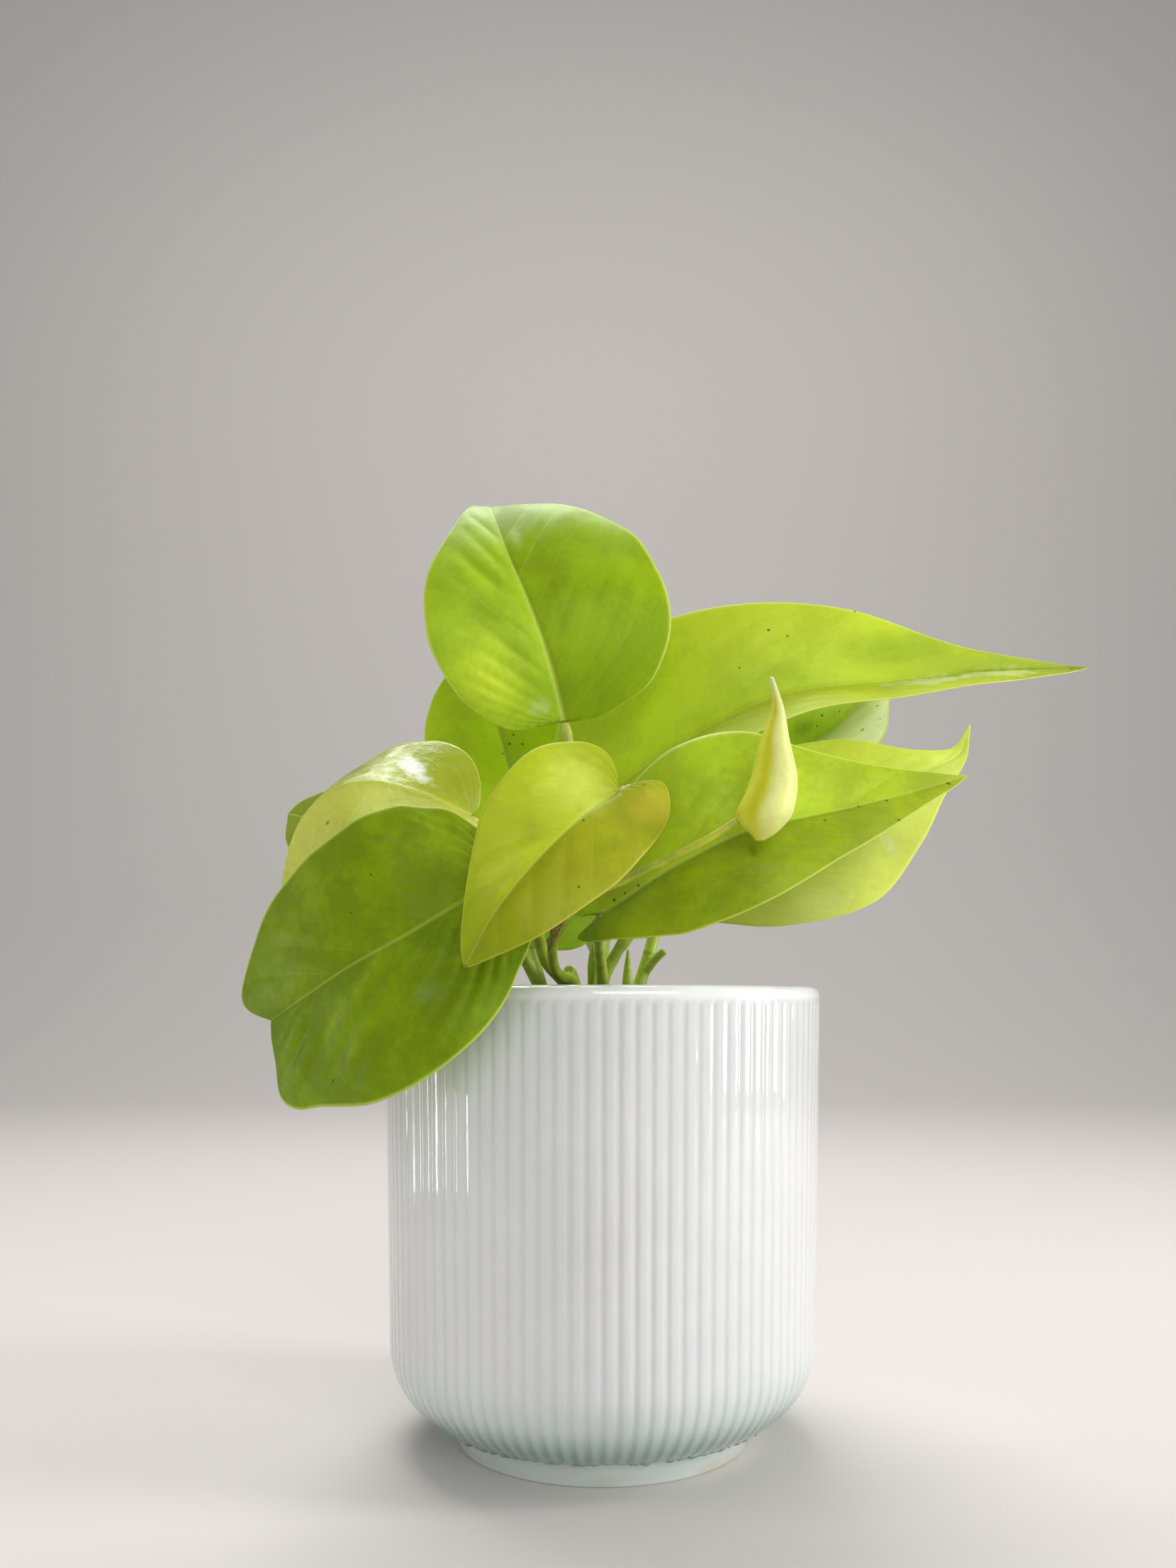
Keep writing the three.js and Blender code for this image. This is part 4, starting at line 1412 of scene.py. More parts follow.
@dataclass
class RolledLeaf:
    """The newest leaf: one thin blade rolled round itself, with its free edge in front."""

    name: str
    finish: RolledFinish
    sections: tuple[tuple[float, float, float, float], ...]
    rows: int = 130
    steps: int = 150
    turns: float = 1.4
    tuck: float = 0.17
    second_tuck: float = 0.3
    thickness: float = 0.4 * MM
    valley_turn: tuple[float, ...] = (232.0, 238.0, 240.0, 240.0, 242.0, 246.0)
    before_valley: float = 48.0
    valley: float = 0.05
    valley_width: float = 20.0

    def make(self) -> None:
        """Builds the leaf in the place of its plain solid."""
        share = np.linspace(0, 1, self.rows)
        middle, _ = Spline(np.array(self.sections) * MM).at(share)
        centre, girth = middle[:, :3], middle[:, 3]
        front = np.interp(share, np.linspace(0, 1, len(self.valley_turn)), self.valley_turn)
        turn = np.linspace(0, self.turns, self.steps)
        angle = np.radians(front - self.before_valley)[:, None] + 2 * math.pi * turn
        inward = np.minimum(turn, 1) ** 3 * self.tuck + np.maximum(turn - 1, 0) * self.second_tuck
        apart = (360 * turn - self.before_valley) / self.valley_width
        closing = smooth(0.0, 0.15, share) * smooth(1.0, 0.85, share)
        inward = inward + self.valley * np.exp(-apart ** 2) * closing[:, None]
        radius = girth[:, None] * (1 - inward)
        wall = np.minimum(self.thickness, girth * self.tuck * 0.55)[:, None]
        surface = Surface()
        skins = []
        for inset in (0.0, 1.0):
            reach = np.maximum(radius - wall * inset, 0.02 * MM)
            points = np.stack([
                centre[:, 0:1] + reach * np.cos(angle), centre[:, 1:2] + reach * np.sin(angle),
                np.broadcast_to(centre[:, 2:3], reach.shape)], axis=-1)
            notes = np.stack(np.broadcast_arrays(turn[None], share[:, None]), axis=-1)
            skins.append(surface.add(points, Roll=notes))
        outer, inner = skins
        surface.face(grid_faces(outer, self.rows, self.steps))
        surface.face(grid_faces(inner, self.rows, self.steps)[:, ::-1])
        self._close(surface, outer, inner)
        made = surface.build(f"{self.name}_roll", [self.finish.material()])
        dress(made, "cream", self.name)

    def _close(self, surface: Surface, outer: int, inner: int) -> None:
        """Joins the two skins of the sheet along its four edges.

        Args:
            surface: the leaf in the making.
            outer: number of the outer skin's first point.
            inner: number of the inner skin's first point.
        """
        last = (self.rows - 1) * self.steps
        first_row, last_row = np.arange(self.steps), last + np.arange(self.steps)
        first_column = np.arange(self.rows) * self.steps
        last_column = first_column + self.steps - 1
        for path, turned in ((first_row, False), (last_column, False), (last_row, True),
                             (first_column, True)):
            faces = band(outer + path, inner + path)
            surface.face(faces[:, ::-1] if turned else faces)


@dataclass
class DrySheath:
    """A dead brown sheath that clings to the front of a petiole."""

    name: str
    finish: DryFinish
    host: Array
    shares: Pair = (0.36, 0.52)
    lift: float = 2.6 * MM
    width: float = 1.05 * MM
    rows: int = 60
    columns: int = 12
    thickness: float = 0.18 * MM
    raggedness: float = 0.22
    curl: float = 0.45 * MM
    crinkle: float = 0.12 * MM

    def make(self) -> None:
        """Builds the sheath in the place of its plain solid."""
        curve = Spline(self.host)
        share = np.linspace(*self.shares, self.rows)
        middle, tangent = curve.at(share)
        front = np.array([0.0, -1.0, 0.2])
        out = unit(front - tangent * (tangent @ front)[:, None])
        across = np.cross(tangent, out)
        rise = np.linspace(0, 1, self.rows)
        ragged = 1 + self.raggedness * Waves(31, 3 * MM).at(middle)
        width = self.width * np.sin(math.pi * np.clip(rise * 0.93 + 0.05, 0, 1)) ** 0.6 * ragged
        turn = np.linspace(-1, 1, self.columns)
        side = turn[None] * width[:, None]
        flat = np.stack([side, np.broadcast_to(share[:, None] * 0.07, side.shape)], axis=-1)
        lift = self.lift - self.curl * turn[None] ** 2
        lift = lift + self.crinkle * Waves(5, 2 * MM).at(flat)
        points = middle[:, None] + across[:, None] * side[..., None] + out[:, None] * lift[..., None]
        surface = Surface()
        top = surface.add(points + out[:, None] * self.thickness / 2)
        bottom = surface.add(points - out[:, None] * self.thickness / 2)
        faces = grid_faces(top, self.rows, self.columns)
        surface.face(faces[:, ::-1])
        surface.face(grid_faces(bottom, self.rows, self.columns))
        last = self.rows * self.columns
        border = np.concatenate([
            np.arange(self.columns), np.arange(1, self.rows) * self.columns + self.columns - 1,
            last - 2 - np.arange(self.columns - 1),
            (np.arange(1, self.rows - 1) * self.columns)[::-1]])
        after = np.roll(border, -1)
        surface.face(np.stack([top + border, top + after, bottom + after, bottom + border], axis=-1))
        dress(surface.build(f"{self.name}_skin", [self.finish.material()]), "dry", self.name)


# Pot


@dataclass
class GlazedPot:
    """Reeded ceramic pot with a plain rim band, a round shoulder and a narrow foot."""

    finish: GlazeFinish
    height: float = 135 * MM
    rim_radius: float = 65 * MM
    waist_radius: float = 63.7 * MM
    wall: float = 5 * MM
    shoulder_height: float = 30 * MM
    shoulder_radius: float = 24 * MM
    foot_radius: float = 44 * MM
    foot_top_radius: float = 46.5 * MM
    foot_height: float = 8.8 * MM
    foot_bevel: float = 0.7 * MM
    rim_band: float = 3.4 * MM
    rim_round: float = 2.5 * MM
    reeds: int = 96
    reed_depth: float = 0.28 * MM
    reed_fade: float = 2.2 * MM
    foot_fade: Pair = (8 * MM, 19 * MM)
    ripple: float = 0.4 * MM
    drip: float = 0.6 * MM
    crest_sag: float = 0.22 * MM
    facets: int = 10

    def shoulder(self, angle: Array, inset: float) -> Array:
        """Points of the round shoulder, measured down from its top, at an inset."""
        arc = self.shoulder_radius - inset
        radius = self.waist_radius - self.shoulder_radius + arc * np.cos(angle)
        return np.column_stack([radius, self.shoulder_height - arc * np.sin(angle)])

    def profile(self) -> tuple[Array, Array, Array]:
        """The pot's outline from the foot's middle over the rim to the inside's middle.

        Returns:
            Radius and height of each row, how deep the reeds are there, and how much
            glaze pools there.
        """
        bevel = self.foot_bevel
        foot = [(self.foot_radius * s, 0.0) for s in (0.0, 0.5, 0.93)]
        turn = np.radians(np.linspace(-90, 0, 6))
        foot += [(self.foot_radius - bevel + bevel * math.cos(a), bevel + bevel * math.sin(a))
                 for a in turn]
        side = np.linspace(0, 1, 6)[1:]
        foot += [(self.foot_radius + (self.foot_top_radius - self.foot_radius) * s,
                  bevel + (self.foot_height - 2 * bevel) * s) for s in side]
        drop = math.asin((self.shoulder_height - self.foot_height) / self.shoulder_radius)
        lower = np.linspace(drop, drop * 0.86, 9)
        shoulder = self.shoulder(np.concatenate([lower, np.linspace(drop * 0.82, 0, 17)]), 0.0)
        hem = shoulder[0, 0]
        foot += [(self.foot_top_radius + 0.3 * MM, self.foot_height - 0.5 * MM),
                 (self.foot_top_radius + 1.0 * MM, self.foot_height - 0.2 * MM),
                 (hem - 1.2 * MM, self.foot_height - 0.1 * MM),
                 (hem - 0.4 * MM, self.foot_height - 0.1 * MM)]
        band = self.height - self.rim_band
        rise = np.concatenate([np.linspace(0.05, 0.93, 12), np.linspace(0.95, 1.0, 9)])
        wall = np.column_stack([
            self.waist_radius + (self.rim_radius - self.waist_radius) * rise,
            self.shoulder_height + (band - self.shoulder_height) * rise])
        lip = np.radians(np.linspace(0, 180, 17))
        rim = np.column_stack([
            self.rim_radius - self.rim_round + self.rim_round * np.cos(lip),
            self.height - self.rim_round + self.rim_round * np.sin(lip)])
        inside = self.shoulder(np.radians([0, 20, 40, 60, 75, 90]), self.wall)
        inside = np.vstack([inside, [0.0, inside[-1, 1]]])
        rows = np.vstack([foot, shoulder, wall, rim, inside])
        count = len(foot)
        reed = np.zeros(len(rows))
        reeded = slice(count, count + len(shoulder) + len(wall))
        reed[reeded] = smooth(band + 0.2 * MM, band - self.reed_fade, rows[reeded, 1])
        reed[reeded] *= 0.45 + 0.55 * smooth(*self.foot_fade, rows[reeded, 1])
        reed[count - 1] = 0.45
        pool = np.zeros(len(rows))
        pool[count - 3:count + 5] = (0.5, 1.0, 1.0, 1.0, 0.8, 0.5, 0.25, 0.1)
        return rows, reed, pool

    def make(self) -> None:
        """Builds the pot in the place of its plain solid."""
        rows, reed, pool = self.profile()
        columns = self.reeds * self.facets
        angle = np.arange(columns) * 2 * math.pi / columns
        inner = rows[1:-1]
        ring = np.stack([inner[:, :1] * np.cos(angle), inner[:, :1] * np.sin(angle),
                         np.broadcast_to(inner[:, 1:], (len(inner), columns))], axis=-1)
        notes = np.stack([np.broadcast_to(reed[1:-1, None], ring.shape[:2]),
                          np.broadcast_to(pool[1:-1, None], ring.shape[:2])], axis=-1)
        surface = Surface()
        start = surface.add(ring, Coat=notes)
        surface.face(grid_faces(start, len(inner), columns, wrap=True))
        for row, place, flip in ((0, rows[0], True), (len(inner) - 1, rows[-1], False)):
            surface.cap(place[1], start + row * columns, columns, flip, Coat=np.zeros((1, 2)))
        made = surface.build("pot_body", [self.finish.material()])
        dress(self.press_reeds(made), "glaze", "pot")

    def press_reeds(self, made: Object) -> Object:
        """Presses the reeds into the plain turned body with Geometry Nodes.

        Args:
            made: the body, with its Coat map.

        Returns:
            The same object as a plain mesh, with the depth of its reeds in that map.
        """
        t = Recipe("press_reeds", Reeds="Float", Depth="Float")
        where = t.add("GeometryNodeInputPosition").outputs[0]
        x, y = t.part(where, 0), t.part(where, 1)
        wave = t.math("COSINE", t.times(t.math("ARCTAN2", y, x), t.given["Reeds"]))
        valley = t.math("POWER", t.math("MULTIPLY_ADD", wave, 0.5, 0.5), 1.25)
        coat = t.add("GeometryNodeInputNamedAttribute", {"data_type": "FLOAT_VECTOR"},
                     Name="Coat").outputs[0]
        reed, pool = t.part(coat, 0), t.part(coat, 1)
        uneven = t.ramp(t.noise(where, 26.0, 2.0), 0.3, 0.7, 0.8, 1.15)
        ripple = t.ramp(t.noise(where, 330.0, 1.0), 0.3, 0.7, -self.ripple, self.ripple)
        press = t.math("ADD", t.times(t.times(valley, reed), t.times(t.given["Depth"], uneven)),
                       t.times(pool, ripple))
        drip = t.ramp(t.noise(where, 210.0, 2.0), 0.3, 0.7, 0.0, self.drip)
        sag = t.times(pool, t.math(
            "MULTIPLY_ADD", t.math("SUBTRACT", 1.0, valley), self.crest_sag, drip))
        radial = t.vector("NORMALIZE", t.joined(x, y, 0.0))
        inward = t.vector("SCALE", radial, Scale=t.times(press, -1.0))
        down = t.joined(0.0, 0.0, t.times(sag, -1.0))
        note = t.joined(t.times(valley, reed), pool, 0.0)
        noted = t.add("GeometryNodeStoreNamedAttribute",
                      {"data_type": "FLOAT2", "domain": "CORNER"},
                      Geometry=t.given["Geometry"], Name="Coat", Value=note)
        moved = t.add("GeometryNodeSetPosition", Geometry=noted.outputs[0],
                      Offset=t.vector("ADD", inward, down))
        t.finish(moved.outputs[0])
        return t.apply(made, Reeds=float(self.reeds), Depth=self.reed_depth,
                       Material=made.data.materials[0])


# Soil


@dataclass
class PottingSoil:
    """Crumbly soil that fills the pot to a little below its rim."""

    finish: SoilFinish
    crumb: SoilFinish
    perlite: SoilFinish
    stems: tuple[Pair, ...]
    level: float = SOIL_LEVEL * MM
    bottom: float = 11.5 * MM
    radius: float = 59.4 * MM
    rings: int = 90
    around: int = 260
    bump: float = 1.0 * MM
    foot_share: float = 0.64
    waist_share: float = 0.975
    waist_height: float = 30 * MM
    strewn_depth: float = 6 * MM
    crumbs: int = 900
    crumb_radii: Pair = (0.6 * MM, 1.9 * MM)
    flecks: int = 120
    fleck_radii: Pair = (0.6 * MM, 1.5 * MM)

    def heights(self, place: Array) -> Array:
        """Works out the soil's surface, in lumps of several sizes.

        Args:
            place: points seen from above, in metres.

        Returns:
            The height at each of them.
        """
        swell = Waves(3, 60 * MM).at(place) * self.bump
        lumps = Waves(4, 9 * MM).at(place) * 0.5 * MM + Waves(8, 3.6 * MM).at(place) * 0.35 * MM
        away = np.min([np.hypot(place[..., 0] - x * MM, place[..., 1] - y * MM)
                       for x, y in self.stems], axis=0)
        return self.level + swell + lumps + 1.2 * MM * np.exp(-(away / (5 * MM)) ** 2)

    def make(self) -> None:
        """Builds the soil and the crumbs on it in the place of the plain solid."""
        share = np.linspace(0, 1, self.rings + 1)[1:]
        angle = np.linspace(0, 2 * math.pi, self.around, endpoint=False)
        radius = self.radius * share[::-1, None]
        flat = np.stack([radius * np.cos(angle), radius * np.sin(angle)], axis=-1)
        top = np.concatenate([flat, self.heights(flat)[..., None]], axis=-1)
        ring = np.concatenate([flat[:1], np.full((1, self.around, 1), self.bottom)], axis=-1)
        ring[..., :2] *= self.foot_share
        waist = np.concatenate([flat[:1] * self.waist_share,
                                np.full((1, self.around, 1), self.waist_height)], axis=-1)
        surface = Surface()
        start = surface.add(np.concatenate([ring, waist, top]))
        rows = self.rings + 2
        surface.face(grid_faces(start, rows, self.around, wrap=True))
        centre = self.heights(np.zeros((1, 2)))[0]
        for row, height, flip in ((0, self.bottom, True), (rows - 1, centre, False)):
            surface.cap(height, start + row * self.around, self.around, flip)
        ground = surface.build("soil_ground", [self.finish.material()])
        self.scatter("soil_crumbs", ground, self.crumb, self.crumbs, self.crumb_radii, 11)
        self.scatter("soil_perlite", ground, self.perlite, self.flecks, self.fleck_radii, 12)
        dress(ground, "soil", "soil")

    def scatter(self, name: str, ground: Object, finish: SoilFinish, count: int, sizes: Pair,
                seed: int) -> None:
        """Strews lumps over the soil's top with Geometry Nodes.

        Args:
            name: the new piece's name.
            ground: the soil that they lie on.
            finish: what they are made of.
            count: about how many there are.
            sizes: the least and the greatest radius.
            seed: number of the draw.
        """
        t = Recipe(f"strew_{name}", Density="Float", Least="Float", Greatest="Float", Seed="Int")
        given = t.given
        up = t.part(t.add("GeometryNodeInputNormal").outputs[0], 2)
        height = t.part(t.add("GeometryNodeInputPosition").outputs[0], 2)
        high = t.math("GREATER_THAN", height, self.level - self.strewn_depth)
        points = t.add("GeometryNodeDistributePointsOnFaces", Mesh=given["Geometry"],
                       Density=given["Density"], Seed=given["Seed"],
                       Selection=t.times(t.math("GREATER_THAN", up, 0.3), high))
        ball = t.add("GeometryNodeMeshIcoSphere", Radius=1.0, Subdivisions=2)
        wobble = t.add("ShaderNodeTexNoise", Scale=1.3, Detail=1.0).outputs["Color"]
        shift = t.vector("SCALE", t.vector("SUBTRACT", wobble, (0.5, 0.5, 0.5)), Scale=1.5)
        lump = t.add("GeometryNodeSetPosition", Geometry=ball.outputs[0], Offset=shift)
        turn = t.add("FunctionNodeRandomValue", {"data_type": "FLOAT_VECTOR"}, Seed=given["Seed"])
        turn.inputs[1].default_value = (2 * math.pi,) * 3
        size = t.add("FunctionNodeRandomValue", {"data_type": "FLOAT"}, Seed=given["Seed"])
        t.feed(size.inputs[2], given["Least"])
        t.feed(size.inputs[3], given["Greatest"])
        placed = t.add("GeometryNodeInstanceOnPoints", Points=points.outputs[0],
                       Instance=lump.outputs[0], Rotation=turn.outputs[0], Scale=size.outputs[1])
        t.finish(placed.outputs[0])
        made = t.apply(into_scene(name, ground.data.copy()),
                       Density=count / (math.pi * self.radius ** 2), Least=sizes[0],
                       Greatest=sizes[1], Seed=seed, Material=finish.material())
        made.data.shade_smooth()
        dress(made, "soil")


# Stage


@dataclass(frozen=True)
class SoftBox:
    """A rectangular lamp: where it hangs, what point it faces, its size, watts and tint."""

    name: str
    place: Point
    aim: Point
    size: Pair
    power: float
    tint: Point = (1.0, 1.0, 1.0)

    def hang(self) -> None:
        """Hangs the lamp in the scene."""
        data = bpy.data.lights.new(self.name, "AREA")
        data.shape = "RECTANGLE"
        data.size, data.size_y = self.size
        data.energy = self.power
        data.color = self.tint
        lamp = into_scene(self.name, data)
        lamp.location = self.place
        toward = np.array(self.aim) - np.array(self.place)
        lamp.rotation_euler = Vector(toward).to_track_quat("-Z", "Y").to_euler()


PLANT = (0.0, 0.0, 0.16)
LAMPS = (
    SoftBox("window", (0.95, -0.16, 0.49), (0.0, 0.0, 0.4), (0.26, 0.94), 7.2),
    SoftBox("side_window", (-0.85, -0.12, 0.42), PLANT, (0.08, 0.8), 0.4, (0.94, 0.97, 1.0)),
    SoftBox("low_glint", (-0.4, -0.02, 0.09), (0.0, 0.0, 0.09), (0.03, 0.14), 0.09),
    SoftBox("skylight", (-0.15, 0.42, 1.15), PLANT, (0.7, 0.5), 9.0),
    SoftBox("front", (0.45, -1.45, 0.75), PLANT, (1.2, 0.8), 10.0),
    SoftBox("backdrop", (0.0, 1.0, 1.9), (0.0, 2.6, 0.9), (2.4, 0.4), 13.0),
)


@dataclass
class Studio:
    """A pale floor that rises into a backdrop, soft light, and the camera."""

    lens: float = 28.48
    sensor: float = 36.0
    camera_place: Point = (0.0, -0.377, 0.1306)
    shift: Pair = (-0.00927, 0.139)
    floor_colour: Colour = (214, 209, 204)
    floor_side: float = 4.0
    floor_front: float = -2.0
    floor_back: float = 2.6
    floor_bend: float = 1.4
    backdrop_height: float = 3.2
    air: Point = (0.96, 0.975, 1.0)
    air_strength: float = 0.34

    def floor(self) -> None:
        """Lays the floor and bends it up behind."""
        bend, back = self.floor_bend, self.floor_back
        turn = np.radians(np.linspace(0, 90, 24))
        profile = [(self.floor_front, 0.0)]
        profile += [(back - bend + bend * math.sin(a), bend - bend * math.cos(a)) for a in turn]
        profile.append((back, self.backdrop_height))
        points = [[(side, depth, height) for side in (-self.floor_side, self.floor_side)]
                  for depth, height in profile]
        surface = Surface()
        surface.face(grid_faces(surface.add(np.array(points)), len(profile), 2))
        m = Material("pale_floor")
        m.set(Base_Color=self.floor_colour, Roughness=0.9)
        surface.build("stage_floor", [m.made])

    def camera(self) -> None:
        """Sets up the level camera at the photograph's place."""
        data = bpy.data.cameras.new("camera")
        data.lens = self.lens
        data.sensor_fit = "AUTO"
        data.sensor_width = self.sensor
        data.shift_x, data.shift_y = self.shift
        data.clip_start = 0.01
        camera = into_scene("camera", data)
        camera.location = self.camera_place
        camera.rotation_euler = (math.radians(90), 0, 0)
        bpy.context.scene.camera = camera

    def make(self) -> None:
        """Sets the whole stage."""
        self.camera()
        self.floor()
        for lamp in LAMPS:
            lamp.hang()
        world = bpy.data.worlds.new("studio_air")
        world.use_nodes = True
        background = world.node_tree.nodes["Background"]
        background.inputs["Color"].default_value = (*self.air, 1.0)
        background.inputs["Strength"].default_value = self.air_strength
        bpy.context.scene.world = world
        bpy.context.scene.view_settings.view_transform = "Standard"


# The plant

LIME_UNDER = (178, 200, 78)
GREEN_UNDER = (138, 168, 52)
OLIVE = (140, 146, 12)
# Painted light: a bright yellow-green tint laid where a blade is brightly lit.
PAINTED_SUNLIGHT = (204, 226, 62)
# Painted sheen: a pale whitish tint laid on blades where a gloss highlight shows.
PAINTED_SHEEN = (212, 226, 150)

FINISHES = {
    "top": LeafFinish(
        "leaf_top", (162, 192, 40), (140, 168, 18), (126, 156, 18), LIME_UNDER,
        # Painted light on this blade: the sunlit patch is a painted highlight, the two pale sheen
        # patches are painted sheen, and the three narrow darker patches turned by 32 to 36 degrees
        # are painted shade in the valleys of its ripples.
        patches=(Patch((-18, 16), (14, 20), PAINTED_SUNLIGHT, 0.8), Patch((-6, 5.5), (5, 3.5), PAINTED_SHEEN, 0.45),
                 Patch((-8, 47), (3, 14), (122, 156, 14), 0.5, 32),
                 Patch((-13, 37), (3, 13), (128, 162, 16), 0.4, 36),
                 Patch((-12, 57), (4, 12), (134, 164, 22), 0.5, 36),
                 Patch((4, 58), (2.5, 6), PAINTED_SHEEN, 0.3),
                 Patch((10, 40), (7, 20), (124, 150, 12), 0.4),
                 Patch((31, 45), (5, 22), (154, 182, 30), 0.5)),
        veins=8, line=0.3, mottle=0.1, shine=0.09),
    "long": LeafFinish(
        "leaf_long", (190, 212, 44), (180, 196, 44), (132, 150, 32),
        (188, 206, 108),
        patches=(Patch((-27, 38), (12, 24), (190, 212, 44), 0.4),
                 Patch((-6, 58), (7, 18), (160, 188, 22), 0.5, -12),
                 Patch((-10, 98), (9, 30), (150, 174, 20), 0.7),
                 # The two ragged pale patches near the midrib are painted sheen.
                 Patch((4, 104), (5, 20), PAINTED_SHEEN, 0.75, ragged=1.4),
                 Patch((3, 128), (5, 20), PAINTED_SHEEN, 0.6, ragged=1.4),
                 Patch((0.4, 40), (0.8, 34), (140, 138, 40), 0.6),
                 Patch((0, 158), (5, 5), (120, 110, 40), 0.5)),
        dots=((-20, 60, 0.5), (-17, 64, 0.4), (-12, 50, 0.35), (-22, 84, 0.4), (1.5, 155, 0.7)),
        veins=8, line=0.3, rib=0.3, speck=0.03),
    "back": LeafFinish(
        "leaf_back", (182, 212, 50), (208, 220, 134), (190, 212, 76), LIME_UNDER,
        patches=(Patch((-6, 20), (4, 5), (120, 146, 22), 0.5),),
        dots=((-6, 28, 0.6), (-4, 24, 0.4), (9, 41, 0.5), (12, 31, 0.7), (6, 44, 0.4),
              (-9, 32, 0.4), (15, 36, 0.4), (-3, 34, 0.35)),
        veins=7, line=0.25, rib=0.9, speck=0.12),
    "front": LeafFinish(
        # The right half's darker colour is painted shade on the half that faces down, and the sunlit
        # patch is a painted highlight.
        "leaf_front", (170, 194, 34), (142, 162, 12), (160, 180, 30), LIME_UNDER,
        patches=(Patch((-25, 34), (10, 16), (162, 192, 26), 0.4),
                 Patch((-8, 62), (9, 16), PAINTED_SUNLIGHT, 0.3),
                 Patch((6.3, 43.6), (2, 1.6), (100, 130, 8), 0.7),
                 Patch((3, -6), (6, 6), (114, 152, 18), 0.7),
                 Patch((14, 30), (3, 16), (116, 142, 8), 0.4, 20),
                 Patch((10, 50), (2, 14), (124, 148, 8), 0.35, 16)),
        dots=((0.3, 76.3, 0.45), (7, 85, 0.5), (2.6, 65, 0.4), (0.7, 84.7, 0.5), (-1.3, 5, 0.6),
              (-0.8, 13.5, 0.5), (-1.2, 9, 0.45), (0.5, 105, 0.7), (0.4, 18, 0.35)),
        veins=8, line=0.18, rib=0.35, speck=0.05, mottle=0.12),
    "lower": LeafFinish(
        "leaf_lower", (196, 214, 60), (204, 218, 94), (202, 218, 88), LIME_UNDER,
        # Both pale patches are painted sheen.
        patches=(Patch((16, 58), (5, 3), PAINTED_SHEEN, 0.6), Patch((24, 33), (8, 14), PAINTED_SHEEN, 0.35)),
        veins=7, line=0.14, gloss=0.46),
    "small": LeafFinish(
        "leaf_small", (154, 160, 16), (168, 184, 20), (142, 156, 12), LIME_UNDER,
        margin=(190, 184, 78),
        # The first, wide pale patch is a painted highlight.
        patches=(Patch((8, 10), (12, 15), (206, 220, 84), 0.7),
                 Patch((5, 27), (4, 5), OLIVE, 0.4),
                 Patch((-9, -3), (8, 11), (192, 188, 44), 0.9),
                 Patch((-10, 17), (3, 10), (134, 144, 6), 0.5, -20),
                 Patch((2, 39), (3, 8), OLIVE, 0.35), Patch((-1, 57), (4, 6), (120, 148, 16), 0.5),
                 Patch((0, 62.5), (1.2, 1.6), (86, 62, 20), 0.9)),
        dots=((-1, 15.7, 0.45), (-12, 31, 0.45), (-3, -7.5, 0.4)), veins=6, line=0.12, rib=0.3),
    "big": LeafFinish(
        "leaf_big", (120, 146, 6), (124, 148, 6), (112, 138, 6), GREEN_UNDER,
        patches=(Patch((14, 6), (10, 14), (138, 162, 10), 0.7),
                 Patch((-5, 42), (3, 12), (144, 170, 16), 0.5, 30),
                 Patch((-11, 57), (3, 12), (142, 168, 16), 0.5, 32),
                 Patch((-18, 50), (3, 10), (138, 162, 14), 0.4, 34),
                 Patch((4, 66), (5, 14), (132, 156, 14), 0.5),
                 Patch((-16, 30), (4, 4), (140, 162, 90), 0.4),
                 Patch((23, 80), (5, 6), (134, 154, 70), 0.35)),
        dots=((-24, 64, 0.5), (18, 30, 0.45), (12, 40, 0.4)), veins=8, line=0.14, rib=0.32,
        speck=0.02, shine=0.12, mottle=0.14),
    "glossy": LeafFinish(
        "leaf_glossy", (206, 212, 92), (160, 172, 44), (206, 208, 104), LIME_UNDER,
        patches=(Patch((8, 6), (6, 6), (150, 162, 30), 0.6),
                 # The darker patch at (12, 37) is painted shade that tones down a brightly lit part,
                 # and the near-white patch after it is a painted glare highlight.
                 Patch((12, 37), (8, 11), (122, 136, 34), 0.75),
                 Patch((10, 19), (9.5, 4.5), (244, 248, 232), 0.9, 37, 1.5),
                 Patch((-7, 46.8), (0.7, 1.5), (110, 100, 40), 0.8)),
        veins=6, line=0.06, rib=0.2, gloss=0.36, shine=0.22, glare=0.16),
    "far": LeafFinish("leaf_far", (138, 156, 40), (142, 158, 48), (138, 156, 42),
                      GREEN_UNDER, veins=6, line=0.14),
    "middle": LeafFinish(
        "leaf_middle", (186, 214, 32), (178, 208, 26), (162, 194, 22), GREEN_UNDER,
        dots=((2, 24.5, 0.6), (4, 27, 0.5), (-1, 22, 0.4), (6, 23, 0.5)), veins=6, line=0.14,
        rib=0.3, speck=0.03),
    "tiny": LeafFinish("leaf_tiny", (180, 214, 54), (172, 208, 48), (168, 204, 48),
                       GREEN_UNDER, veins=5, line=0.1, rib=0.2),
}


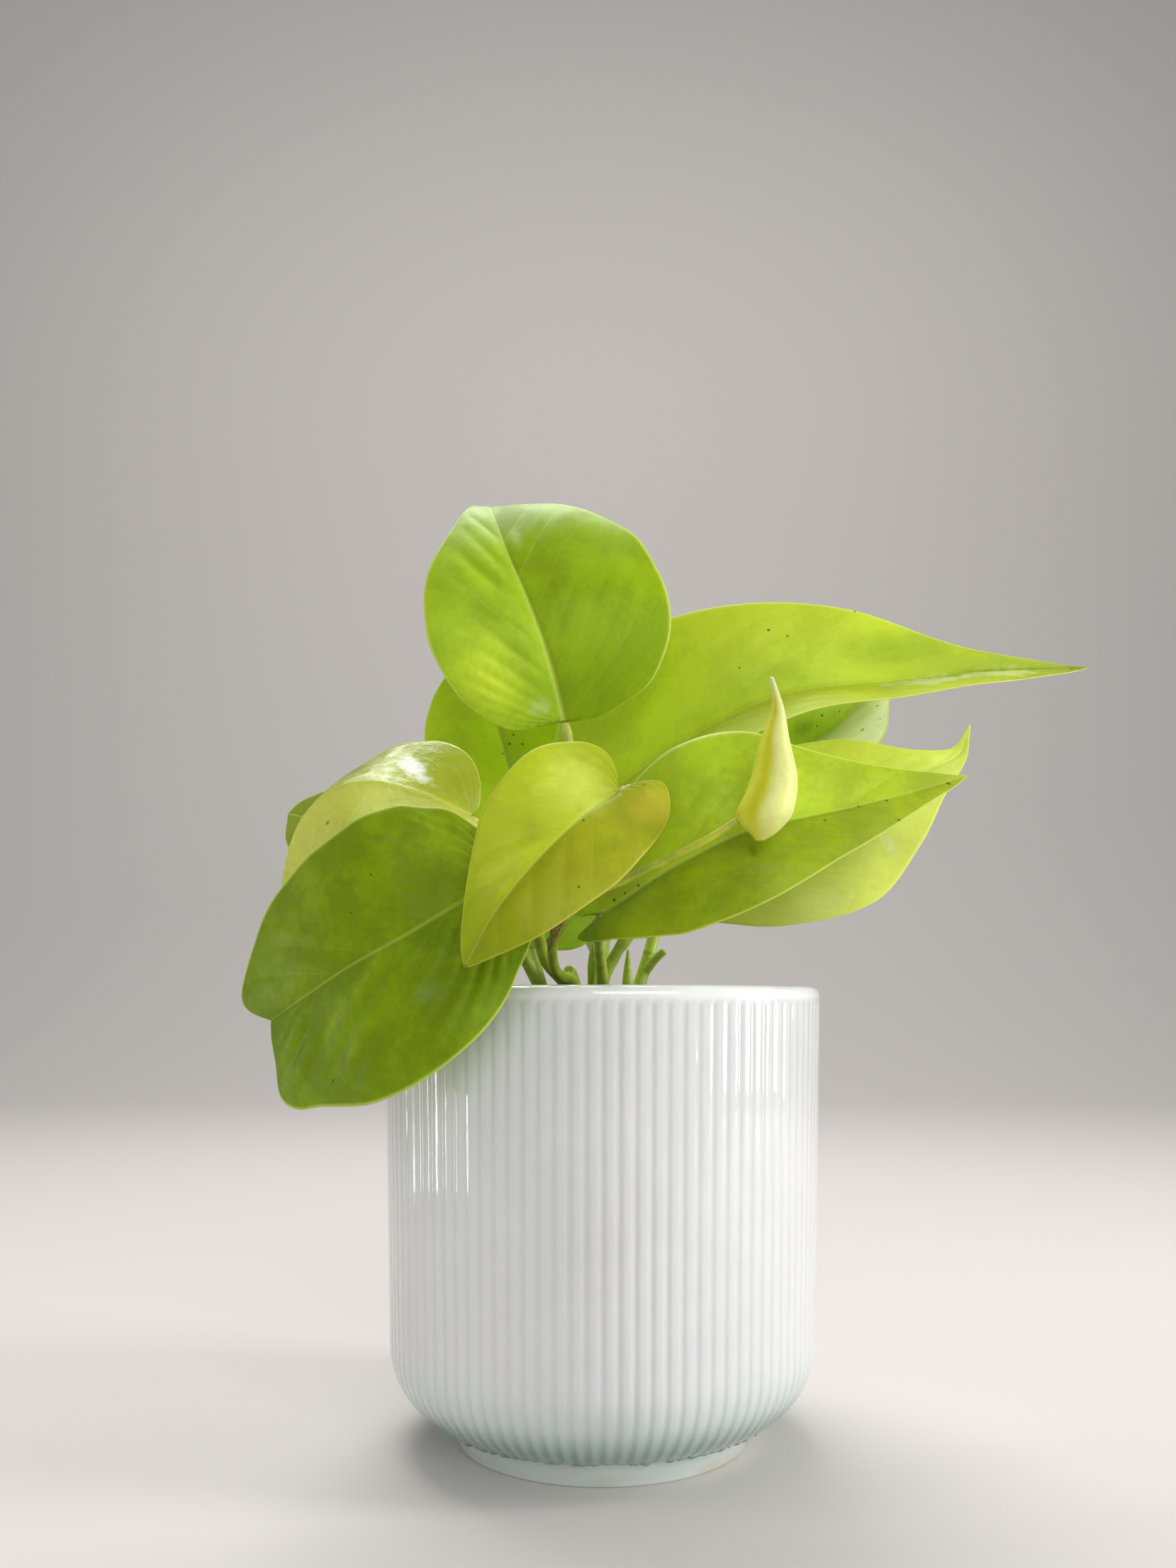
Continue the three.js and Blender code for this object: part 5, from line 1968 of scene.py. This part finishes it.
def blades() -> list[Blade]:
    """Every open leaf, in the order from the top of the plant to its foot.

    Returns:
        The blades, drawn in millimetres as in the frame's own source.
    """
    front = (0.0, -1.0, 0.1)
    return [
        Blade("leaf_top", "lime", FINISHES["top"],
              ((-11, -20, 211.5), (-15, -25, 227), (-20.5, -26, 242.5), (-27, -21, 258.5),
               (-31, -13, 270.5), (-34, -3, 279.5), (-33, 6, 281.5)),
              (front, (0, -0.6, 0.8)),
              Half(((4, 0), (12.5, 0.5), (19, 3.5), (27, 13.5), (30.5, 29.5), (29, 40.5), (25, 50),
                    (16, 62), (5, 82)), (6, 6), -20, 0.55),
              Half(((4, -1), (11.5, -1), (18, 1), (25, 3.5), (31, 9), (38, 19), (40, 32.5),
                    (36.5, 58.5), (17, 78), (6, 83)), (6, 6), -20, 0.3), seed=21),
        Blade("leaf_long_right", "lime", FINISHES["long"],
              ((3.5, 5, 196), (23.5, -6, 208), (53.5, -12, 221), (86.5, -8, 226), (119, 2, 231.5),
               (153, 12, 235.5)),
              (front, front),
              Half(((7, -10), (20, -11), (30, 0), (36.3, 32), (27, 66.5), (19.5, 92), (7.5, 121),
                    (2, 148)), (4, 4), -12, 0.3),
              Half(((4, -7), (12, -7), (18, 0), (24.5, 33), (22, 65), (15.5, 94), (12, 120),
                    (5.5, 148)), (62, 50), 0, 0.3), seed=22),
        Blade("leaf_back_right", "green", FINISHES["back"],
              ((54.5, 28, 202), (68, 30, 214.5), (77, 31, 221), (87, 33, 231.5), (100.5, 36, 246)),
              (front, front),
              Half(((6, -7), (18, -7), (27, -0.5), (30.5, 10), (28, 24), (24, 38), (13, 51),
                    (5, 59)), (8, 8), -12),
              Half(((4, -5), (12, -4), (20, 0), (28, 15), (24, 29), (15, 40), (7, 50), (3, 58)),
                   (52, 52), 0), seed=23),
        Blade("leaf_front_right", "lime", FINISHES["front"],
              ((0.5, -52, 154), (5.5, -57, 157), (12.5, -62, 161.5), (23.5, -67, 167.5),
               (38.5, -68, 174), (64.5, -60, 180.5), (89.5, -50, 188), (97.5, -46, 191)),
              ((0, -1, 0.35), (0, -1, 0.35)),
              Half(((4, -10), (9, -8), (14, 0), (20, 12), (26, 24), (29, 38), (27, 54), (19, 68),
                    (8.5, 90), (3, 104)), (10, 10), -20, 0.25),
              Half(((1.5, -11), (4, -9.5), (6.5, -4), (9, 3), (14, 13), (18, 24), (19, 45),
                    (12.5, 68), (6, 90), (2.5, 104)), (10, 10), -20, 0.45), seed=24),
        Blade("leaf_lower_right", "lime", FINISHES["lower"],
              ((23, -15, 167.5), (30.5, -20, 171), (60.5, -25, 183.5), (92, -18, 197),
               (104.5, -12, 203), (108, -10, 210), (109, -9, 213)),
              ((0, -1, 0.2), (0, -1, 0.2)),
              Half(((4, -7), (10, -7), (14, 0), (20, 16), (23.5, 33), (18.5, 58.5), (6.5, 80),
                    (2, 97)), (8, 8), -20),
              Half(((4, -7), (10, -7), (14, 0), (25.5, 22), (29.5, 47), (20, 66), (9, 81),
                    (2, 95)), (8, 8), -20), seed=25),
        Blade("leaf_small_front", "lime", FINISHES["small"],
              ((3.5, -72, 182), (-5, -82, 174.5), (-15, -88, 164), (-24.5, -92, 151.5),
               (-32, -90, 138.5)),
              (front, front),
              Half(((2, -10), (6, -13.5), (12, -7), (15, 1), (17, 13), (17.5, 24), (15, 37.5),
                    (11, 48), (3, 59)), (10, 10), -10, 0.35),
              Half(((6, -5.5), (12, -6), (17, 0), (20, 14), (17.5, 29.5), (13.5, 37.5), (7, 49.5),
                    (3, 58)), (10, 10), -10, 0.3), seed=26, groove=0.2 * MM),
        Blade("leaf_big_left", "green", FINISHES["big"],
              ((-26.5, -58, 161.5), (-34.5, -64, 156.5), (-48, -67, 148), (-63.5, -62.5, 140),
               (-76, -54, 133), (-89.2, -43, 125.6)),
              ((0, -1, 0.2), (-0.15, -1, 0.2)),
              Half(((5, -5), (10, -4), (16, 2), (28, 18.5), (34.5, 35), (34.5, 53.5), (28.5, 71),
                    (25.5, 81), (20, 85.5), (11, 83.5), (5, 82.5)), (6, 6), -16, 1.3),
              Half(((6, -6), (16, -4), (26, 1), (33, 17), (34, 33.5), (31.5, 54), (28, 69.5),
                    (21.5, 80), (12, 89.5), (6, 88.5)), (6, 6), -16, 0.8), seed=27,
              groove=0.28 * MM, wave=0.8 * MM),
        Blade("leaf_glossy_left", "lime", FINISHES["glossy"],
              ((-37, -28, 183), (-45.5, -32, 186.7), (-53, -34, 189), (-62.5, -36, 191),
               (-73, -36, 189.5), (-82.5, -33, 182.5), (-88, -29, 173), (-91, -26, 161.5)),
              ((0, -0.9, 0.5), (-0.5, -0.9, 0.3)),
              Half(((3, -4), (8, -2), (10, 3), (14.5, 15), (18, 34), (16, 51.5), (10.5, 63.5),
                    (5.5, 71)), (-15, -15), -10, 0.1),
              Half(((4, -1.5), (10, -0.5), (16, 2), (20.5, 6), (23, 12), (23.6, 18), (20.5, 27.5),
                    (12.5, 38), (7, 52.5), (3, 66)), (5, -75), -10, 0.1), seed=28,
              groove=-0.25 * MM),
        Blade("leaf_far_left", "green", FINISHES["far"],
              ((-52.5, -10, 177.5), (-69, -12, 180.5), (-83.5, -12, 184), (-93.5, -8, 186.5)),
              ((0, -1, 0.3), (0, -1, 0.3)),
              Half(((3, -4), (6, -4), (8, 0), (9, 9), (12, 18), (13, 25), (12, 34), (8, 39)),
                   (8, 8), -10),
              Half(((3, -4), (6, -4), (8, 0), (10.5, 10.5), (12.5, 18), (11.5, 26), (9.5, 33),
                    (5, 40)), (8, 8), -10), seed=29, rows=64, columns=20),
        Blade("leaf_mid_back", "green", FINISHES["middle"],
              ((-26, 18, 190), (-30, 22, 206.5), (-35.5, 26, 226), (-42.5, 32, 250.5)),
              (front, front),
              Half(((4, -7), (11, -6), (17, 1), (21.5, 12), (24, 26), (23.5, 36), (18, 47),
                    (9, 56)), (8, 8), -15, 0.4),
              Half(((4, -7), (11, -7), (16, 0), (25, 13), (26, 25), (19, 38), (10, 50), (4, 58)),
                   (8, 8), -15, 0.4), seed=30),
        Blade("leaf_tiny_low", "green", FINISHES["tiny"],
              ((0, -15, 157.5), (-10.5, -18, 152), (-22, -18, 146.5)),
              ((0, -1, 0.3), (0, -1, 0.3)),
              Half(((1, -2.5), (3, -2.5), (4, 0), (6, 5), (7, 10), (6.5, 14), (4, 19), (2, 22)),
                   (8, 8), -10, 0.1),
              Half(((1, -2.5), (3, -2.5), (4, 0), (5, 5), (5, 10), (4, 14), (2.5, 19), (1.5, 22)),
                   (8, 8), -10, 0.1), seed=31, rows=48, columns=14, rib=0.3 * MM,
              groove=0.15 * MM, wave=0.15 * MM),
    ]


def vines(leaves: dict[str, Blade]) -> list[Vine]:
    """The six rooted stems with their petioles.

    Args:
        leaves: the blades by name, for the joints that the petioles end at.

    Returns:
        The vines, drawn in millimetres as in the frame's own source.
    """
    finish = StemFinish("stem_skin", (186, 210, 80), (198, 210, 96))
    olive = StemFinish("olive_stem_skin", (176, 200, 70), (172, 178, 44))
    petiole = (1.95, 1.7, 1.5)

    def vine(name: str, *limbs: Limb) -> Vine:
        """Puts together a vine of these limbs."""
        return Vine(name, limbs, olive if name == "vine_front" else finish, leaves)

    return [
        vine("vine_left",
             Limb(((-15, -7, ROOT), (-15, -7, SOIL_LEVEL), (-19, -9, 137), (-22, -10, 150)),
                  (2.5, 2.5, 2.3, 1.7)),
             Limb(((-18.5, -8.8, 135), (-24, -13, 146), (-27, -24, 154), (-26, -42, 161)), petiole,
                  "leaf_big_left"),
             Limb(((-21, -9.7, 146), (-27, -16, 165), (-32, -24, 178)), petiole,
                  "leaf_glossy_left"),
             Limb(((-21.5, -9.9, 148), (-32, -9, 165), (-44, -8, 175)), petiole, "leaf_far_left")),
        vine("vine_front",
             Limb(((-5.5, -11, ROOT), (-5.5, -11, SOIL_LEVEL), (-8.5, -12, 137), (-10, -16, 140)),
                  (2.1, 2.1, 2.0, 1.6)),
             Limb(((-6.5, -11.5, 127), (-11, -15, 136), (-16.5, -22, 143), (-18, -34, 154),
                   (-15, -50, 168), (-8, -64, 178)), petiole, "leaf_small_front"),
             Limb(FURLED_PETIOLE, (1.7, 1.5, 1.3, 1.1, 0.95))),
        vine("vine_centre",
             Limb(((-3.5, -3, ROOT), (-3.5, -3, SOIL_LEVEL), (-2.5, -4, 136), (-0.5, -4, 149)),
                  (2.4, 2.4, 2.2, 1.9)),
             Limb(((-1, -4, 145), (-3, -4, 170), (-8, -9, 195)), (2.2, 1.9, 2.0), "leaf_top"),
             Limb(((-2.8, -3.8, 133), (-3, -9, 143), (0, -11, 153)), (1.5, 1.3, 1.1),
                  "leaf_tiny_low")),
        vine("vine_back",
             Limb(((0, 8, ROOT), (0, 8, SOIL_LEVEL), (0, 8, 140), (1, 9, 158)),
                  (2.4, 2.4, 2.2, 1.8)),
             Limb(((0.5, 8.5, 150), (3, 11, 170), (1, 12, 186)), (2.2, 1.9, 1.7),
                  "leaf_long_right"),
             Limb(((0, 8, 142), (-9, 14, 160), (-21, 21, 178)), petiole, "leaf_mid_back")),
        vine("vine_right",
             Limb(((-0.5, -9.5, ROOT), (-0.5, -9.5, SOIL_LEVEL), (0, -10, 136), (6.3, -10, 149)),
                  (1.8, 1.8, 1.8, 1.7)),
             Limb(((5.5, -10, 147), (13, -10.5, 158)), petiole, "leaf_lower_right"),
             Limb(((-0.3, -9.8, 127), (0, -17, 136), (-1, -32, 145.5), (-1.2, -44, 150)), petiole,
                  "leaf_front_right")),
        vine("vine_outer",
             Limb(((8, -4, ROOT), (8, -4, SOIL_LEVEL), (11, -3.5, 135), (15, -1, 148)),
                  (2.0, 2.0, 2.0, 1.8)),
             Limb(((14, -2, 145), (19, 3, 160), (32, 14, 178), (45, 24, 192)), petiole,
                  "leaf_back_right"),
             Limb(((9.5, -4, 127), (7.6, -6, 136), (7.6, -6, 146.5)), (1.6, 1.7, 0.4)),
             Limb(((12.5, -3, 139), (15.5, -5, 143), (18.6, -6, 146)), (1.4, 1.3, 1.2))),
    ]


FURLED_PETIOLE: tuple[Point, ...] = (
    (-8.5, -12, 137), (-12, -24, 138), (-13.5, -36, 141), (-13, -48, 146.5), (-9, -58, 152.5),
    (-3, -65, 157.5), (5.5, -68, 161), (12.5, -70, 164), (19, -73, 167), (25.5, -76.5, 170),
    (33.2, -77.2, 174.8))

FURLED_SECTIONS = (
    (38, -77, 169.6, 0.9), (38.7, -77, 171.1, 2.9), (38.7, -77, 173.7, 5.7), (39.1, -77, 176.3, 7),
    (40.8, -77, 181.5, 6.3), (41.6, -76.5, 186.6, 5.45), (41.8, -76, 194.5, 3.55),
    (42.6, -75, 202.1, 1.64), (41.3, -74, 209.9, 0.5))


def main() -> None:
    """Builds the stage, the pot, the soil and the plant in that order."""
    logging.basicConfig(level=logging.INFO, format="%(name)s: %(message)s")
    leaves = {leaf.name: leaf for leaf in blades()}
    stems = vines(leaves)
    roots = tuple(stem.limbs[0].path[0][:2] for stem in stems)
    Studio().make()
    GlazedPot(GlazeFinish("white_glaze", crest=(222, 223, 222), groove=(214, 217, 217),
                          shoulder=(186, 206, 200), pool=(84, 127, 118),
                          foot=(208, 219, 214), stain=(196, 184, 160),
                          # The rim colour is a painted highlight along the top of the rim.
                          rim=(240, 241, 240))).make()
    PottingSoil(SoilFinish("potting_soil", (34, 24, 17), (74, 55, 40)),
                SoilFinish("soil_crumb", (30, 20, 14), (92, 66, 44), 1400.0),
                SoilFinish("perlite", (190, 186, 176), (226, 224, 216), 1600.0),
                roots).make()
    for leaf in leaves.values():
        leaf.make()
    # In the rolled leaf, deep is painted shade in a strip beside its edge, and edge is a painted
    # highlight on its right side and also lies on its tip.
    RolledLeaf("leaf_furled", RolledFinish(
        "rolled_leaf", light=(224, 230, 134), yellow=(222, 226, 62),
        deep=(206, 208, 22), edge=(238, 243, 186)), FURLED_SECTIONS).make()
    DrySheath("dry_sheath", DryFinish("dead_skin", (112, 96, 44), (164, 146, 76)),
              np.array(FURLED_PETIOLE) * MM).make()
    tubes = Tubes()
    for stem in stems:
        stem.make(tubes)


if __name__ == "__main__":
    main()
